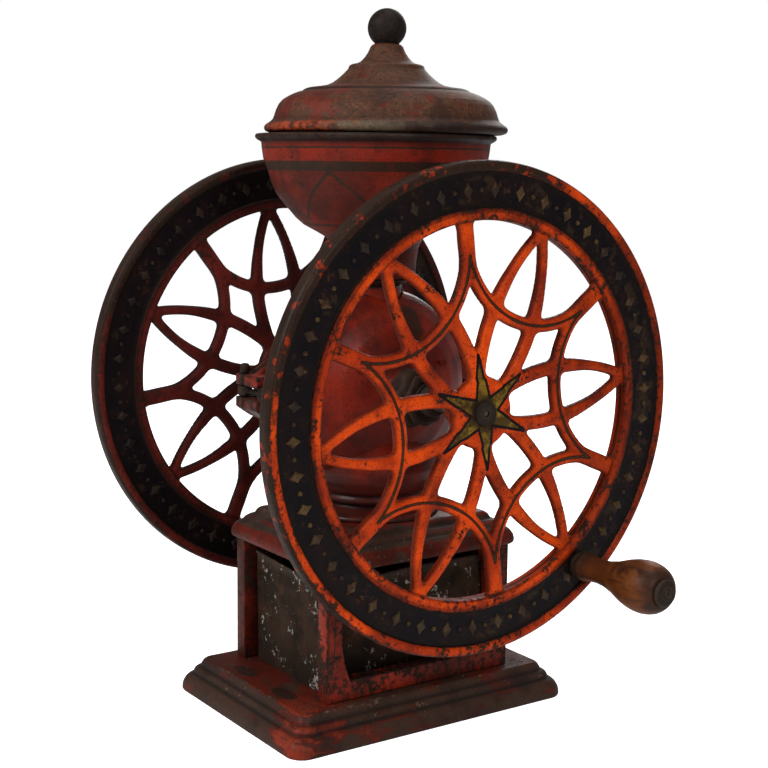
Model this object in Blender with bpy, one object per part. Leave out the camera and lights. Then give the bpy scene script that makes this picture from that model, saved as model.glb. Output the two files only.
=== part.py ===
"""Counter coffee mill with two flywheels.

Metres, +Z up. The origin is on the counter under the middle of the mill's outline, the axle runs
along X and the crank is on the +X wheel. The drawer pulls out towards -Y.

Every size below is in wheel radii, so WHEEL_RADIUS scales the whole mill. mm() turns
millimetres into wheel radii, for hardware and clearances. Places along X are measured from the
drum's split plane, and stand_on_origin() moves the whole mill at the end.
"""

import math

import bmesh
import bpy
from mathutils import Vector
from mathutils.geometry import delaunay_2d_cdt

WHEEL_RADIUS = 0.235  # metres


def mm(length):
    """Millimetres as wheel radii."""
    return length * 0.001 / WHEEL_RADIUS


GAP = mm(0.3)  # between neighbouring pieces
CUT_PHASE = 0.11  # turns round cutters, so that their points miss the edges they cut
AXLE_Z = 1.402
AXLE_R = mm(8.5)
BORE_R = AXLE_R + GAP

# base and frame
BASE_HALF = (0.528, 0.715)
BASE_TOP = 0.150
POST_OUTER = (0.384, 0.479)
POST_DEPTH = 0.070
FRAME_TOP = 0.710
TOP_HALF = (0.410, 0.510)
TOP_Z = 0.855
RAIL_TOP = 0.235
TIE_R = mm(3.6)
TIE_PLACES = [(side * 0.349, end * 0.425) for side in (-1, 1) for end in (-1, 1)]

# drawer
TIN_HALF = (0.292, 0.425)
TIN_TOP = 0.655
TIN_WALL = mm(1.0)

# grinding drum
DRUM_OUTSIDE = [(0.0, 0.445), (0.050, 0.443), (0.085, 0.432), (0.110, 0.410), (0.150, 0.360),
                (0.190, 0.290), (0.215, 0.210), (0.230, 0.140)]  # (x, r)
DRUM_INSIDE = [(0.0, 0.415), (0.045, 0.413), (0.087, 0.389), (0.126, 0.341), (0.163, 0.277),
               (0.186, 0.200), (0.198, 0.140)]
SEAT_R = 0.118  # column on top of the drum
SPIGOT_R = 0.148  # top of that column, inside the hopper's neck
SPIGOT_TOP = 1.950
NECK_R = 0.178
NECK_BOTTOM = 1.892
THROAT_R = 0.098
FOOT_R = 0.300
OUTLET_R = 0.105
FOOT_BOLT_Y = (-0.262, 0.262)
SET_SCREW_Z = 1.920
SET_SCREW_R = mm(2.6)

# latch and hinge of the drum's cover
LUG_END = 0.660
SLOT_Z = (1.410, 1.458)
LATCH_Z = sum(SLOT_Z) / 2
LATCH_PIN = (-0.031, -0.630)
LATCH_PIN_R = 0.013
SHANK_R = 0.0145
HINGE_PIN = (0.0, 0.520)
HINGE_PIN_R = 0.016

# wheels
WHEEL_X = 0.761  # mid-plane of the front wheel; the rear one is at -WHEEL_X
WHEEL_TURN = (7.3, 37.3)  # degrees from +Y to the first petal: front, rear
RIM_STEPS = 56
WEB_HALF = 0.020
RIM_INNER = 0.765
HUB_R = 0.148
SCALLOP_CENTRE = 0.800
SCALLOP_R = 0.408
SCALLOP_HALF = 0.026
PETAL_ARC_CENTRE = (0.370, -0.713)
PETAL_ARC_R = 0.820
PETAL_HALF = (0.027, 0.020)  # half width of the stroke near the hub and near the tip
CORNER_BLEND = 0.022

# crank
CRANK_ANGLE = math.radians(-52.7)
CRANK_R = 0.880
CRANK_YZ = (CRANK_R * math.cos(CRANK_ANGLE), AXLE_Z + CRANK_R * math.sin(CRANK_ANGLE))
SPINDLE_R = 0.020
SPINDLE_END = 1.318
WHEEL_NUT_END = WHEEL_X + 0.046

# lid, which sits off centre on the hopper
LID_SHIFT = (0.024, 0.035)


# ---------------------------------------------------------------- materials

def material(name, colour, metallic, roughness):
    made = bpy.data.materials.new(name)
    made.use_nodes = True
    shader = made.node_tree.nodes["Principled BSDF"]
    shader.inputs["Base Color"].default_value = (*colour, 1.0)
    shader.inputs["Metallic"].default_value = metallic
    shader.inputs["Roughness"].default_value = roughness
    return made


FINISHES = {
    "base_paint": ((0.16, 0.045, 0.030), 0.0, 0.60),
    "frame_paint": ((0.36, 0.045, 0.025), 0.0, 0.50),
    "drum_paint": ((0.30, 0.030, 0.020), 0.0, 0.42),
    "hopper_paint": ((0.34, 0.040, 0.020), 0.0, 0.45),
    "lid_paint": ((0.17, 0.060, 0.040), 0.1, 0.60),
    "front_wheel_paint": ((0.72, 0.115, 0.020), 0.0, 0.42),
    "rear_wheel_paint": ((0.24, 0.025, 0.018), 0.0, 0.45),
    "tin": ((0.085, 0.065, 0.050), 0.6, 0.65),
    "dark_iron": ((0.060, 0.048, 0.042), 0.7, 0.55),
    "worn_iron": ((0.150, 0.105, 0.085), 0.6, 0.60),
    "steel": ((0.320, 0.300, 0.280), 0.9, 0.40),
    "brass": ((0.450, 0.300, 0.120), 0.9, 0.40),
    "wood": ((0.300, 0.110, 0.040), 0.0, 0.40),
}


# ---------------------------------------------------------------- mesh tools

def finish(bm, name, finish_name, origin=(0, 0, 0), cutter=False):
    """Makes the object from a bmesh in wheel radii, with its origin at origin."""
    bmesh.ops.recalc_face_normals(bm, faces=bm.faces)
    start = Vector(origin)
    for vert in bm.verts:
        vert.co = (vert.co - start) * WHEEL_RADIUS
    mesh = bpy.data.meshes.new(name)
    bm.to_mesh(mesh)
    bm.free()
    mesh.shade_smooth()
    mesh.set_sharp_from_angle(angle=math.radians(32))
    if not cutter:
        mesh.materials.append(MATERIALS[finish_name])
    made = bpy.data.objects.new(name, mesh)
    made.location = start * WHEEL_RADIUS
    bpy.context.scene.collection.objects.link(made)
    if cutter:
        made.hide_render = True
        made.display_type = "WIRE"
    return made


def bridged(rings, closed):
    """A bmesh skinned over rings of points. A closed one joins its last ring to its first."""
    bm = bmesh.new()
    made = [[bm.verts.new(point) for point in ring] for ring in rings]
    pairs = list(zip(made, made[1:]))
    if closed:
        pairs.append((made[-1], made[0]))
    for low, high in pairs:
        count = max(len(low), len(high))
        for i in range(count):
            j = (i + 1) % count
            corners = [low[i % len(low)], low[j % len(low)], high[j % len(high)], high[i % len(high)]]
            bm.faces.new(list(dict.fromkeys(corners)))
    if not closed:
        for ring in (made[0], made[-1]):
            if len(ring) > 2:
                bm.faces.new(ring)
    return bm


def circle(axis, centre, along, radius, steps, phase=0.0):
    """Points of a circle round an axis through centre, or the one point where radius is 0."""
    x, y, z = centre
    if radius == 0:
        return [(x + along, y, z)] if axis == "X" else [(x, y, z + along)]
    points = []
    for i in range(steps):
        turn = phase + 2 * math.pi * i / steps
        u, v = radius * math.cos(turn), radius * math.sin(turn)
        points.append((x + along, y + u, z + v) if axis == "X" else (x + u, y + v, z + along))
    return points


def turned(name, profile, finish_name, axis="X", centre=(0, 0, 0), steps=32, closed=False, phase=0.0,
           **more):
    """A turned piece. profile lists (distance along the axis, radius)."""
    rings = [circle(axis, centre, along, radius, steps, phase) for along, radius in profile]
    return finish(bridged(rings, closed), name, finish_name, **more)


def tube(name, low, high, inner, outer, finish_name, **more):
    profile = [(low, inner), (low, outer), (high, outer), (high, inner)]
    return turned(name, profile, finish_name, closed=True, **more)


def hex_ring(name, low, high, bore, across, finish_name, axis, centre, **more):
    """A hexagon nut: six flats outside and a round bore of six times three points."""
    def hexagon(along):
        ring = []
        for x, y, z in circle(axis, (0, 0, 0), 0, 1, 18):
            u, v = (y, z) if axis == "X" else (x, y)
            turn = math.atan2(v, u) % (math.pi / 3) - math.pi / 6
            reach = across / 2 / math.cos(turn)
            flat = (along, u * reach, v * reach) if axis == "X" else (u * reach, v * reach, along)
            ring.append(tuple(c + d for c, d in zip(centre, flat)))
        return ring
    rings = [circle(axis, centre, low, bore, 18), hexagon(low), hexagon(high),
             circle(axis, centre, high, bore, 18)]
    return finish(bridged(rings, True), name, finish_name, **more)


def rounded_rectangle(half_x, half_y, corner, z, per_corner=5):
    """A rounded rectangle's points; equal halves and corner give an even circle."""
    points = []
    for i, (side_x, side_y) in enumerate(((1, 1), (-1, 1), (-1, -1), (1, -1))):
        for j in range(per_corner):
            share = (j + 0.5) / per_corner if corner == half_x else j / (per_corner - 1)
            turn = (i + share) * math.pi / 2
            points.append((side_x * (half_x - corner) + corner * math.cos(turn),
                           side_y * (half_y - corner) + corner * math.sin(turn), z))
    return points


def moulded(name, half, corner, outside, inside, finish_name):
    """A moulded plate. outside lists (inset, z) from its foot up; inside lists whole rings."""
    rings = []
    for inset, z in outside:
        rings.append(rounded_rectangle(half[0] - inset, half[1] - inset, corner - 0.4 * inset, z))
    return finish(bridged(rings + inside, True), name, finish_name)


def box(name, low, high, finish_name=None, **more):
    rings = [[(low[0], low[1], z), (high[0], low[1], z), (high[0], high[1], z), (low[0], high[1], z)]
             for z in (low[2], high[2])]
    return finish(bridged(rings, False), name, finish_name, **more)


def extruded(name, outline, axis, low, high, finish_name, **more):
    """A flat outline of (first, second) points carried along X or Z."""
    def place(along):
        return [(along, u, v) if axis == "X" else (u, v, along) for u, v in outline]
    return finish(bridged([place(low), place(high)], False), name, finish_name, **more)


def combine(target, operation, others):
    """Adds the other shapes to the target, or cuts them from it, in one step."""
    group = bpy.data.collections.new(f"{target.name} {operation.lower()}")
    for other in others:
        group.objects.link(other)
    step = target.modifiers.new(group.name, "BOOLEAN")
    step.operation = operation
    step.solver = "EXACT"
    step.operand_type = "COLLECTION"
    step.collection = group


def hole(name, axis, centre, low, high, radius, steps=16):
    """A cutter for a round hole from low to high along the axis."""
    return turned(name, [(low, radius), (high, radius)], None, axis=axis, centre=centre,
                  steps=steps, phase=CUT_PHASE, cutter=True)


def bolt(name, centre, head_low, head_high, tip, across, shank, finish_name):
    """A vertical hexagon bolt: its head from head_low to head_high and its shank to tip."""
    inner, outer = (head_high, head_low) if tip > head_high else (head_low, head_high)
    rings = [circle("Z", centre, tip, shank, 12), circle("Z", centre, inner, shank, 12)]
    for z in (inner, outer):
        ring = []
        for x, y, _ in circle("Z", (0, 0, 0), 0, 1, 12):
            turn = math.atan2(y, x) % (math.pi / 3) - math.pi / 6
            reach = across / 2 / math.cos(turn)
            ring.append((centre[0] + x * reach, centre[1] + y * reach, z))
        rings.append(ring)
    return finish(bridged(rings, False), name, finish_name)


# ---------------------------------------------------------------- base, frame and drawer

def base_plate():
    outside = [(0.004, 0.0), (0.0, 0.008), (0.0, 0.022), (0.005, 0.042), (0.015, 0.060),
               (0.029, 0.074), (0.041, 0.080), (0.044, 0.092), (0.050, 0.104), (0.062, 0.113),
               (0.070, 0.116), (0.074, 0.130), (0.082, 0.142), (0.092, BASE_TOP)]
    plate = moulded("base_plate", BASE_HALF, 0.085, outside[:-1], [
        rounded_rectangle(0.436, 0.623, 0.045, BASE_TOP),
        rounded_rectangle(0.150, 0.300, 0.045, BASE_TOP),
        rounded_rectangle(0.150, 0.300, 0.045, 0.100),
        rounded_rectangle(0.420, 0.600, 0.045, 0.100),
        rounded_rectangle(0.460, 0.640, 0.055, 0.0),
    ], "base_paint")
    combine(plate, "DIFFERENCE", [hole(f"cut_base_{i}", "Z", (x, y, 0), 0.05, 0.2, TIE_R + GAP, 12)
                                  for i, (x, y) in enumerate(TIE_PLACES)])


def side_frame(name, side):
    """Two flared posts on a rail, cut from one plate. The window is open at the top."""
    outer, foot, waist = POST_OUTER[1], 0.120, 0.078
    low, high = BASE_TOP + GAP, FRAME_TOP - GAP
    outline = [(-outer, low), (outer, low), (outer, high)]
    inner = []
    steps = 10
    for i in range(steps + 1):
        share = i / steps
        flare = abs(2 * share - 1) ** 2.5
        width = waist + (foot - waist) * flare
        inner.append((outer - width, high + (RAIL_TOP - high) * share))
    outline += inner
    outline += [(-y, z) for y, z in reversed(inner)]
    outline += [(-outer, high)]
    near, far = sorted((side * (POST_OUTER[0] - POST_DEPTH), side * POST_OUTER[0]))
    frame = extruded(name, outline, "X", near, far, "frame_paint")
    combine(frame, "DIFFERENCE", [hole(f"cut_{name}_{i}", "Z", (x, y, 0), 0.1, 0.75, TIE_R + GAP, 12)
                                  for i, (x, y) in enumerate(TIE_PLACES) if x * side > 0])


def top_plate():
    outside = [(0.012, FRAME_TOP), (0.003, 0.718), (0.0, 0.735), (0.004, 0.757), (0.016, 0.776),
               (0.034, 0.788), (0.040, 0.791), (0.048, 0.806), (0.062, 0.817), (0.076, 0.821),
               (0.081, 0.834), (0.090, 0.848)]
    plate = moulded("top_plate", TOP_HALF, 0.045, outside, [
        rounded_rectangle(0.306, 0.406, 0.025, TOP_Z),
        rounded_rectangle(OUTLET_R, OUTLET_R, OUTLET_R, TOP_Z),
        rounded_rectangle(OUTLET_R, OUTLET_R, OUTLET_R, 0.800),
        rounded_rectangle(0.270, 0.360, 0.030, 0.800),
        rounded_rectangle(0.285, 0.380, 0.030, FRAME_TOP),
    ], "frame_paint")
    cutters = [hole(f"cut_top_{i}", "Z", (x, y, 0), 0.6, 0.765, TIE_R + GAP, 12)
               for i, (x, y) in enumerate(TIE_PLACES)]
    cutters += [hole(f"cut_top_foot_{i}", "Z", (0, y, 0), 0.815, 0.95, TIE_R + GAP, 12)
                for i, y in enumerate(FOOT_BOLT_Y)]
    combine(plate, "DIFFERENCE", cutters)


def tie_bolts():
    names = ("rear_wheel_side_front", "rear_wheel_side_back", "crank_side_front", "crank_side_back")
    for name, (x, y) in zip(names, TIE_PLACES):
        bolt(f"tie_bolt_{name}", (x, y, 0), 0.070, 0.100 - GAP, 0.762, mm(11), TIE_R, "dark_iron")


def drawer_tin():
    """An open tin box with a rolled edge round its mouth."""
    half_x, half_y = TIN_HALF
    floor, roll = BASE_TOP + mm(0.5), mm(1.6)

    def ring(grow, z):
        corner = mm(3) + max(grow, -mm(2))
        return rounded_rectangle(half_x + grow, half_y + grow, corner, z, 4)

    rings = [ring(0, floor), ring(0, TIN_TOP - 2 * roll), ring(roll, TIN_TOP - 1.5 * roll),
             ring(roll, TIN_TOP - 0.5 * roll), ring(0, TIN_TOP), ring(-TIN_WALL, TIN_TOP - roll),
             ring(-TIN_WALL, floor + TIN_WALL)]
    return finish(bridged(rings, False), "drawer_tin", "tin")


# ---------------------------------------------------------------- grinding drum

def mirrored(profile, side):
    return [(side * x, r) for x, r in profile]


def shell_half(name, side):
    """Half a drum from the split plane outwards: band, dome and bearing boss, all solid."""
    split = (mm(0.4), DRUM_OUTSIDE[0][1])
    boss = [(0.236, 0.112), (0.270, 0.104), (0.274, 0.0)]
    profile = [(split[0], 0.0), split] + DRUM_OUTSIDE[1:] + boss
    return turned(name, mirrored(profile, side), "drum_paint", centre=(0, 0, AXLE_Z))


def lug(name, low, high, rib_low, rib_high):
    """A slotted latch ear from x = low to high, with a rib that widens towards the drum."""
    ear = [(-LUG_END, 1.366), (-LUG_END, 1.508), (-0.400, 1.508), (-0.400, 1.235), (-0.600, 1.325)]
    rib = [(-0.605, 1.500), (-0.605, 1.512), (-0.548, 1.551), (-0.400, 1.625), (-0.400, 1.500)]
    shapes = [extruded(name, ear, "X", low, high, None, cutter=True),
              extruded(f"{name}_rib", rib, "X", rib_low, rib_high, None, cutter=True)]
    return shapes


def latch_slot(name):
    """The slot across both ears, open towards -Y, that the swing bolt lies in."""
    return box(name, (-0.5, -0.75, SLOT_Z[0]), (0.5, -0.576, SLOT_Z[1]), cutter=True)


def knuckle(name, side, low, high):
    """A hinge knuckle round the rear pin with its arm to the drum."""
    radius, arm = 0.040, 0.002
    pin_x, pin_y = HINGE_PIN
    arc = [(pin_x + radius * math.cos(math.radians(a)), pin_y + radius * math.sin(math.radians(a)))
           for a in range(180, -91, -30)]
    points = [(-radius, 0.400)] + arc + [(-arm, 0.462), (-arm, 0.400)]
    outline = [(-side * x, y) for x, y in points]
    return extruded(name, outline, "Z", low, high, None, cutter=True)


def pedestal(name, grow):
    """The drum's foot: a round flange, a cove and a bead, then a shoulder up to the drum."""
    profile = [(TOP_Z + GAP, 0), (TOP_Z + GAP, FOOT_R), (0.883, FOOT_R), (0.890, 0.285),
               (0.897, 0.232), (0.912, 0.213), (0.922, 0.236), (0.937, 0.252), (0.952, 0.248),
               (0.966, 0.228), (0.985, 0.208), (1.010, 0.175), (1.045, 0.145), (1.080, 0.125),
               (1.110, 0.120), (1.110, 0)]
    grown = [(z + (grow if z > TOP_Z + 0.2 else 0), r + grow if r else 0) for z, r in profile]
    return turned(name, grown, None, axis="Z", steps=28, cutter=True)


def seat(name):
    """The column on top of the drum, its shoulder and the spigot that carry the hopper's neck."""
    shoulder = NECK_BOTTOM - GAP
    profile = [(1.560, 0), (1.560, SEAT_R), (1.860, SEAT_R), (1.876, 0.158), (1.882, 0.166),
               (shoulder, 0.166), (shoulder, SPIGOT_R), (SPIGOT_TOP, SPIGOT_R), (SPIGOT_TOP, 0)]
    return turned(name, profile, None, axis="Z", steps=28, cutter=True)


def cavity(name, inner_end):
    """The space inside the drum, from inner_end to the bearing boss at +X. It may start midway."""
    near = [point for point in mirrored(DRUM_INSIDE[::-1], -1) if point[0] >= inner_end]
    profile = [(inner_end, 0.0), (inner_end, near[0][1])] + near + DRUM_INSIDE[1:]
    return turned(name, profile + [(0.198, 0.0)], None, centre=(0, 0, AXLE_Z), phase=CUT_PHASE,
                  cutter=True)


def drum_body():
    body = shell_half("drum_body", -1)
    combine(body, "UNION", [
        seat("add_seat"),
        pedestal("add_pedestal", 0),
        *lug("add_body_lug", -0.062, -mm(0.4), -0.034, -mm(0.4)),
        knuckle("add_knuckle_top", -1, 1.497, 1.555),
        knuckle("add_knuckle_low", -1, 1.345, 1.403),
    ])
    centre = (0, 0, 0)
    cutters = [
        cavity("cut_body_cavity", -0.199),
        hole("cut_inlet", "Z", centre, 1.660, 2.00, THROAT_R + GAP, 32),
        hole("cut_outlet", "Z", centre, 0.80, 1.09, OUTLET_R, 32),
        hole("cut_rear_bearing", "X", (0, 0, AXLE_Z), -0.5, 0.0, 0.062 + GAP, 24),
        hole("cut_hinge_body", "Z", (*HINGE_PIN, 0), 1.2, 1.7, HINGE_PIN_R + GAP),
        hole("cut_latch_pin", "Z", (*LATCH_PIN, 0), 1.2, 1.7, LATCH_PIN_R + GAP),
        latch_slot("cut_body_slot"),
    ]
    cutters += [hole(f"cut_foot_{i}", "Z", (0, y, 0), 0.8, 0.95, TIE_R + GAP, 12)
                for i, y in enumerate(FOOT_BOLT_Y)]
    combine(body, "DIFFERENCE", cutters)


def drum_cover():
    cover = shell_half("drum_cover", 1)
    combine(cover, "UNION", [
        *lug("add_cover_lug", mm(0.4), 0.122, mm(0.4), 0.034),
        knuckle("add_knuckle_mid", 1, 1.4045, 1.4955),
    ])
    cutters = [
        cavity("cut_cover_cavity", -0.1),
        hole("cut_seat_room", "Z", (0, 0, 0), 1.5, 2.0, SEAT_R + 2 * GAP, 28),
        pedestal("cut_pedestal_room", 2 * GAP),
        hole("cut_front_bearing", "X", (0, 0, AXLE_Z), 0.0, 0.5, 0.072 + GAP, 24),
        hole("cut_hinge_cover", "Z", (*HINGE_PIN, 0), 1.2, 1.7, HINGE_PIN_R + GAP),
        latch_slot("cut_cover_slot"),
    ]
    cutters += [hole(f"cut_cover_screw_{i}", "X", (0, *place), 0.15, 0.300, mm(2) + GAP, 12)
                for i, place in enumerate(burr_screw_places())]
    combine(cover, "DIFFERENCE", cutters)


def hinge_and_latch():
    turned("hinge_pin", [(1.335, 0), (1.335, HINGE_PIN_R), (1.556, HINGE_PIN_R), (1.556, 0.026),
                         (1.566, 0.026), (1.570, 0.018), (1.570, 0)], "dark_iron", axis="Z",
           centre=(*HINGE_PIN, 0), steps=16)
    turned("latch_pin", [(1.350, 0), (1.350, LATCH_PIN_R), (1.509 + GAP, LATCH_PIN_R),
                         (1.509 + GAP, 0.020), (1.542, 0.020), (1.550, 0.014), (1.550, 0)],
           "worn_iron", axis="Z", centre=(*LATCH_PIN, 0), steps=16)
    pin_x, pin_y = LATCH_PIN
    eye = tube("latch_eyebolt", -0.020, 0.020, LATCH_PIN_R + GAP, 0.030, "dark_iron", axis="Z",
               centre=(pin_x, pin_y, LATCH_Z), steps=24, origin=(pin_x, pin_y, LATCH_Z))
    combine(eye, "UNION", [turned("add_shank", [(0.020, SHANK_R), (0.235, SHANK_R)], None,
                                  centre=(pin_x, pin_y, LATCH_Z), steps=16, cutter=True)])
    nut_x = 0.122 + mm(1)
    hex_ring("latch_nut", 0.0, 0.040, SHANK_R + GAP, 0.070, "dark_iron", "X",
             (nut_x, pin_y, LATCH_Z), origin=(nut_x, pin_y, LATCH_Z))


def feed_throat():
    """The pipe that leads the beans from the hopper's neck, beside the burrs, to the feed worm."""
    middle = (0, 0, AXLE_Z)
    aside = (-0.045, 0, 0)
    flange, flange_top, flange_r = SPIGOT_TOP + GAP, 1.962, 0.146
    throat = turned("feed_throat", [(1.700, 0), (1.700, THROAT_R), (flange, THROAT_R),
                                    (flange, flange_r), (flange_top, flange_r), (flange_top, 0)],
                    "dark_iron", axis="Z", steps=24)
    combine(throat, "UNION", [
        turned("add_neck", [(1.420, 0.060), (1.710, 0.060)], None, axis="Z", centre=aside, steps=20,
               cutter=True),
        turned("add_barrel", [(-0.145, 0.132), (0.025, 0.132)], None, centre=middle, steps=24,
               cutter=True),
    ])
    combine(throat, "DIFFERENCE", [
        hole("cut_throat", "Z", (0, 0, 0), 1.716, 2.00, 0.080, 24),
        hole("cut_neck", "Z", aside, AXLE_Z, 1.75, 0.048, 20),
        hole("cut_barrel", "X", middle, -0.130, 0.10, 0.114, 24),
        hole("cut_throat_axle", "X", middle, -0.30, 0.10, 0.050, 24),
    ])


# ---------------------------------------------------------------- burrs, axle and bearings

def burr_screw_places():
    return [(0.245 * math.cos(math.radians(a)), AXLE_Z + 0.245 * math.sin(math.radians(a)))
            for a in (30, 150, 270)]


def toothed_disc(name, back, face, tip, bore, outer, turn):
    """A burr: radial teeth on one face, from back (plain) to face (valleys) and tip (crests)."""
    teeth = 16
    steps = teeth * 2

    def ring(radius, level_valley, level_crest):
        points = []
        for i in range(steps):
            angle = turn + 2 * math.pi * i / steps
            along = level_crest if i % 2 else level_valley
            points.append((along, radius * math.cos(angle), AXLE_Z + radius * math.sin(angle)))
        return points

    rings = [ring(bore, back, back), ring(outer, back, back), ring(outer, face, tip),
             ring(outer * 0.55, face, tip), ring(bore * 1.15, face, face), ring(bore, face, face)]
    return finish(bridged(rings, True), name, "steel", origin=(0, 0, AXLE_Z))


def feed_worm():
    """A core on the axle with one helical fin, swept as a closed strip."""
    core, root, tip, pitch, turns = 0.047, 0.044, 0.108, 0.070, 1.9
    start, steps = -0.125, 14
    sleeve = tube("feed_worm", start, 0.032, BORE_R, core, "dark_iron", centre=(0, 0, AXLE_Z),
                  steps=24, origin=(0, 0, AXLE_Z))
    rings = []
    for i in range(int(turns * steps) + 1):
        angle = 2 * math.pi * i / steps
        middle = start + 0.014 + pitch * i / steps
        ring = []
        for radius, half in ((root, -0.009), (tip, -0.005), (tip, 0.005), (root, 0.009)):
            ring.append((middle + half, radius * math.cos(angle), AXLE_Z + radius * math.sin(angle)))
        rings.append(ring)
    combine(sleeve, "UNION", [finish(bridged(rings, False), "add_fin", None, cutter=True)])


def grinding_parts():
    toothed_disc("rotating_burr", 0.034, 0.070, 0.082, BORE_R, 0.285, 0.0)
    fixed = toothed_disc("fixed_burr", 0.140, 0.104, 0.092, 0.085, 0.285, math.pi / 32)
    combine(fixed, "DIFFERENCE", [hole(f"cut_burr_screw_{i}", "X", (0, *place), 0.05, 0.30,
                                       mm(2) + GAP, 12)
                                  for i, place in enumerate(burr_screw_places())])
    for i, place in enumerate(burr_screw_places()):
        turned(f"burr_screw_{i + 1}", [(0.106, 0), (0.106, mm(2)), (0.140 + GAP, mm(2)),
                                       (0.140 + GAP, mm(3)), (0.150, mm(3)), (0.150, mm(2)),
                                       (0.222, mm(2)), (0.222, mm(3.6)), (0.234, mm(3.6)),
                                       (0.234, 0)], "steel", centre=(0, *place), steps=12)
    feed_worm()


def axle_and_bearings():
    middle = (0, 0, AXLE_Z)
    end = WHEEL_X + 0.042
    axle = turned("axle", [(-end, 0), (-end, AXLE_R), (end, AXLE_R), (end, 0)], "steel",
                  centre=middle, steps=24, origin=middle)
    tube("front_bearing_sleeve", 0.160, 0.420, BORE_R, 0.072, "worn_iron", centre=middle, steps=24)
    tube("rear_bearing_bush", -0.350, -0.190, BORE_R, 0.062, "brass", centre=middle, steps=24)
    tube("rear_thrust_collar", -0.400, -0.354, BORE_R, 0.066, "worn_iron", centre=middle, steps=24,
         origin=middle)
    tube("front_thrust_collar", 0.424, 0.470, BORE_R, 0.066, "worn_iron", centre=middle, steps=24,
         origin=middle)
    hex_ring("adjuster_lock_nut", 0.384, 0.406, 0.072 + GAP, 0.200, "worn_iron", "X", middle,
             origin=middle)
    seats = []
    for name, side in (("front_wheel_key", 1), ("rear_wheel_key", -1)):
        x_low, x_high = sorted((side * 0.640, side * 0.705))
        half, low, high = mm(2), AXLE_R - mm(2), AXLE_R + mm(2)
        box(name, (x_low, -half, AXLE_Z + low), (x_high, half, AXLE_Z + high), "steel",
            origin=middle)
        seats.append(box(f"cut_{name}", (x_low - GAP, -half - GAP, AXLE_Z + low - GAP),
                         (x_high + GAP, half + GAP, AXLE_Z + high + GAP), cutter=True))
    combine(axle, "DIFFERENCE", seats)


def grind_adjuster():
    """A lobed hand nut on the front bearing sleeve."""
    lobes, steps = 6, 36
    middle = (0, 0, AXLE_Z)

    def lobed(along, radius, depth):
        points = []
        for i in range(steps):
            angle = 2 * math.pi * i / steps
            reach = radius - depth * (0.5 - 0.5 * math.cos(lobes * angle)) ** 2
            points.append((along, reach * math.cos(angle), AXLE_Z + reach * math.sin(angle)))
        return points

    bore = 0.072 + GAP
    rings = [circle("X", middle, 0.280, bore, steps), circle("X", middle, 0.280, 0.104, steps),
             lobed(0.290, 0.126, 0.012), lobed(0.302, 0.134, 0.018), lobed(0.352, 0.134, 0.018),
             lobed(0.364, 0.126, 0.012), circle("X", middle, 0.376, 0.104, steps),
             circle("X", middle, 0.380, bore, steps)]
    return finish(bridged(rings, True), "grind_adjuster", "worn_iron", origin=middle)


# ---------------------------------------------------------------- wheels

def smooth_min(values):
    """The least of the values, rounded off where two are nearly equal."""
    result = values[0]
    for value in values[1:]:
        mix = max(0.0, min(1.0, 0.5 + 0.5 * (value - result) / CORNER_BLEND))
        result = value + (result - value) * mix - CORNER_BLEND * mix * (1 - mix)
    return result


def stroke(point, centre, radius, half):
    return abs(math.dist(point, centre) - radius) - half


def petal_half(u):
    share = max(0.0, min(1.0, (u - 0.43) / 0.19))
    share = share * share * (3 - 2 * share)
    return PETAL_HALF[0] + (PETAL_HALF[1] - PETAL_HALF[0]) * share


def web_distance(y, z):
    """Distance from a point of the wheel's plane to the nearest casting; below 0 inside it.

    The tracery has six petals, each of two arcs, and six scallops, circles round the petals' tips.
    """
    reach = math.hypot(y, z)
    turn = math.atan2(z, y)
    turn = abs((turn + math.pi / 6) % (math.pi / 3) - math.pi / 6)
    point = (reach * math.cos(turn), reach * math.sin(turn))
    twin = (reach * math.cos(math.pi / 3 - turn), reach * math.sin(math.pi / 3 - turn))
    above = (PETAL_ARC_CENTRE[0], -PETAL_ARC_CENTRE[1])
    return smooth_min([
        RIM_INNER - reach,
        reach - HUB_R,
        stroke(point, (SCALLOP_CENTRE, 0), SCALLOP_R, SCALLOP_HALF),
        stroke(twin, (SCALLOP_CENTRE, 0), SCALLOP_R, SCALLOP_HALF),
        stroke(point, PETAL_ARC_CENTRE, PETAL_ARC_R, petal_half(point[0])),
        stroke(point, above, PETAL_ARC_R, petal_half(point[0])),
        stroke(twin, PETAL_ARC_CENTRE, PETAL_ARC_R, petal_half(twin[0])),
    ])


def opening(seed_reach, seed_turn, rays):
    """The outline of the opening round a seed, as points where the casting starts."""
    seed = (seed_reach * math.cos(seed_turn), seed_reach * math.sin(seed_turn))
    outline = []
    for i in range(rays):
        angle = seed_turn + 2 * math.pi * (i + 0.5) / rays
        step = (math.cos(angle), math.sin(angle))
        clear, blocked = 0.0, 0.01
        while web_distance(seed[0] + blocked * step[0], seed[1] + blocked * step[1]) > 0:
            clear, blocked = blocked, blocked + 0.01
        for _ in range(12):
            half = (clear + blocked) / 2
            if web_distance(seed[0] + half * step[0], seed[1] + half * step[1]) > 0:
                clear = half
            else:
                blocked = half
        outline.append((seed[0] + clear * step[0], seed[1] + clear * step[1]))
    return outline


def openings(turn):
    """All thirty: per sixth, one by the hub, one by the tip, two by the rim, one between petals."""
    side = math.atan2(0.215, 0.600)
    kinds = [(0.260, 0.0, 9), (0.545, 0.0, 9), (math.hypot(0.215, 0.600), side, 11),
             (math.hypot(0.215, 0.600), -side, 11), (0.370, math.pi / 6, 8)]
    return [opening(reach, turn + angle + k * math.pi / 3, rays)
            for k in range(6) for reach, angle, rays in kinds]


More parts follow.
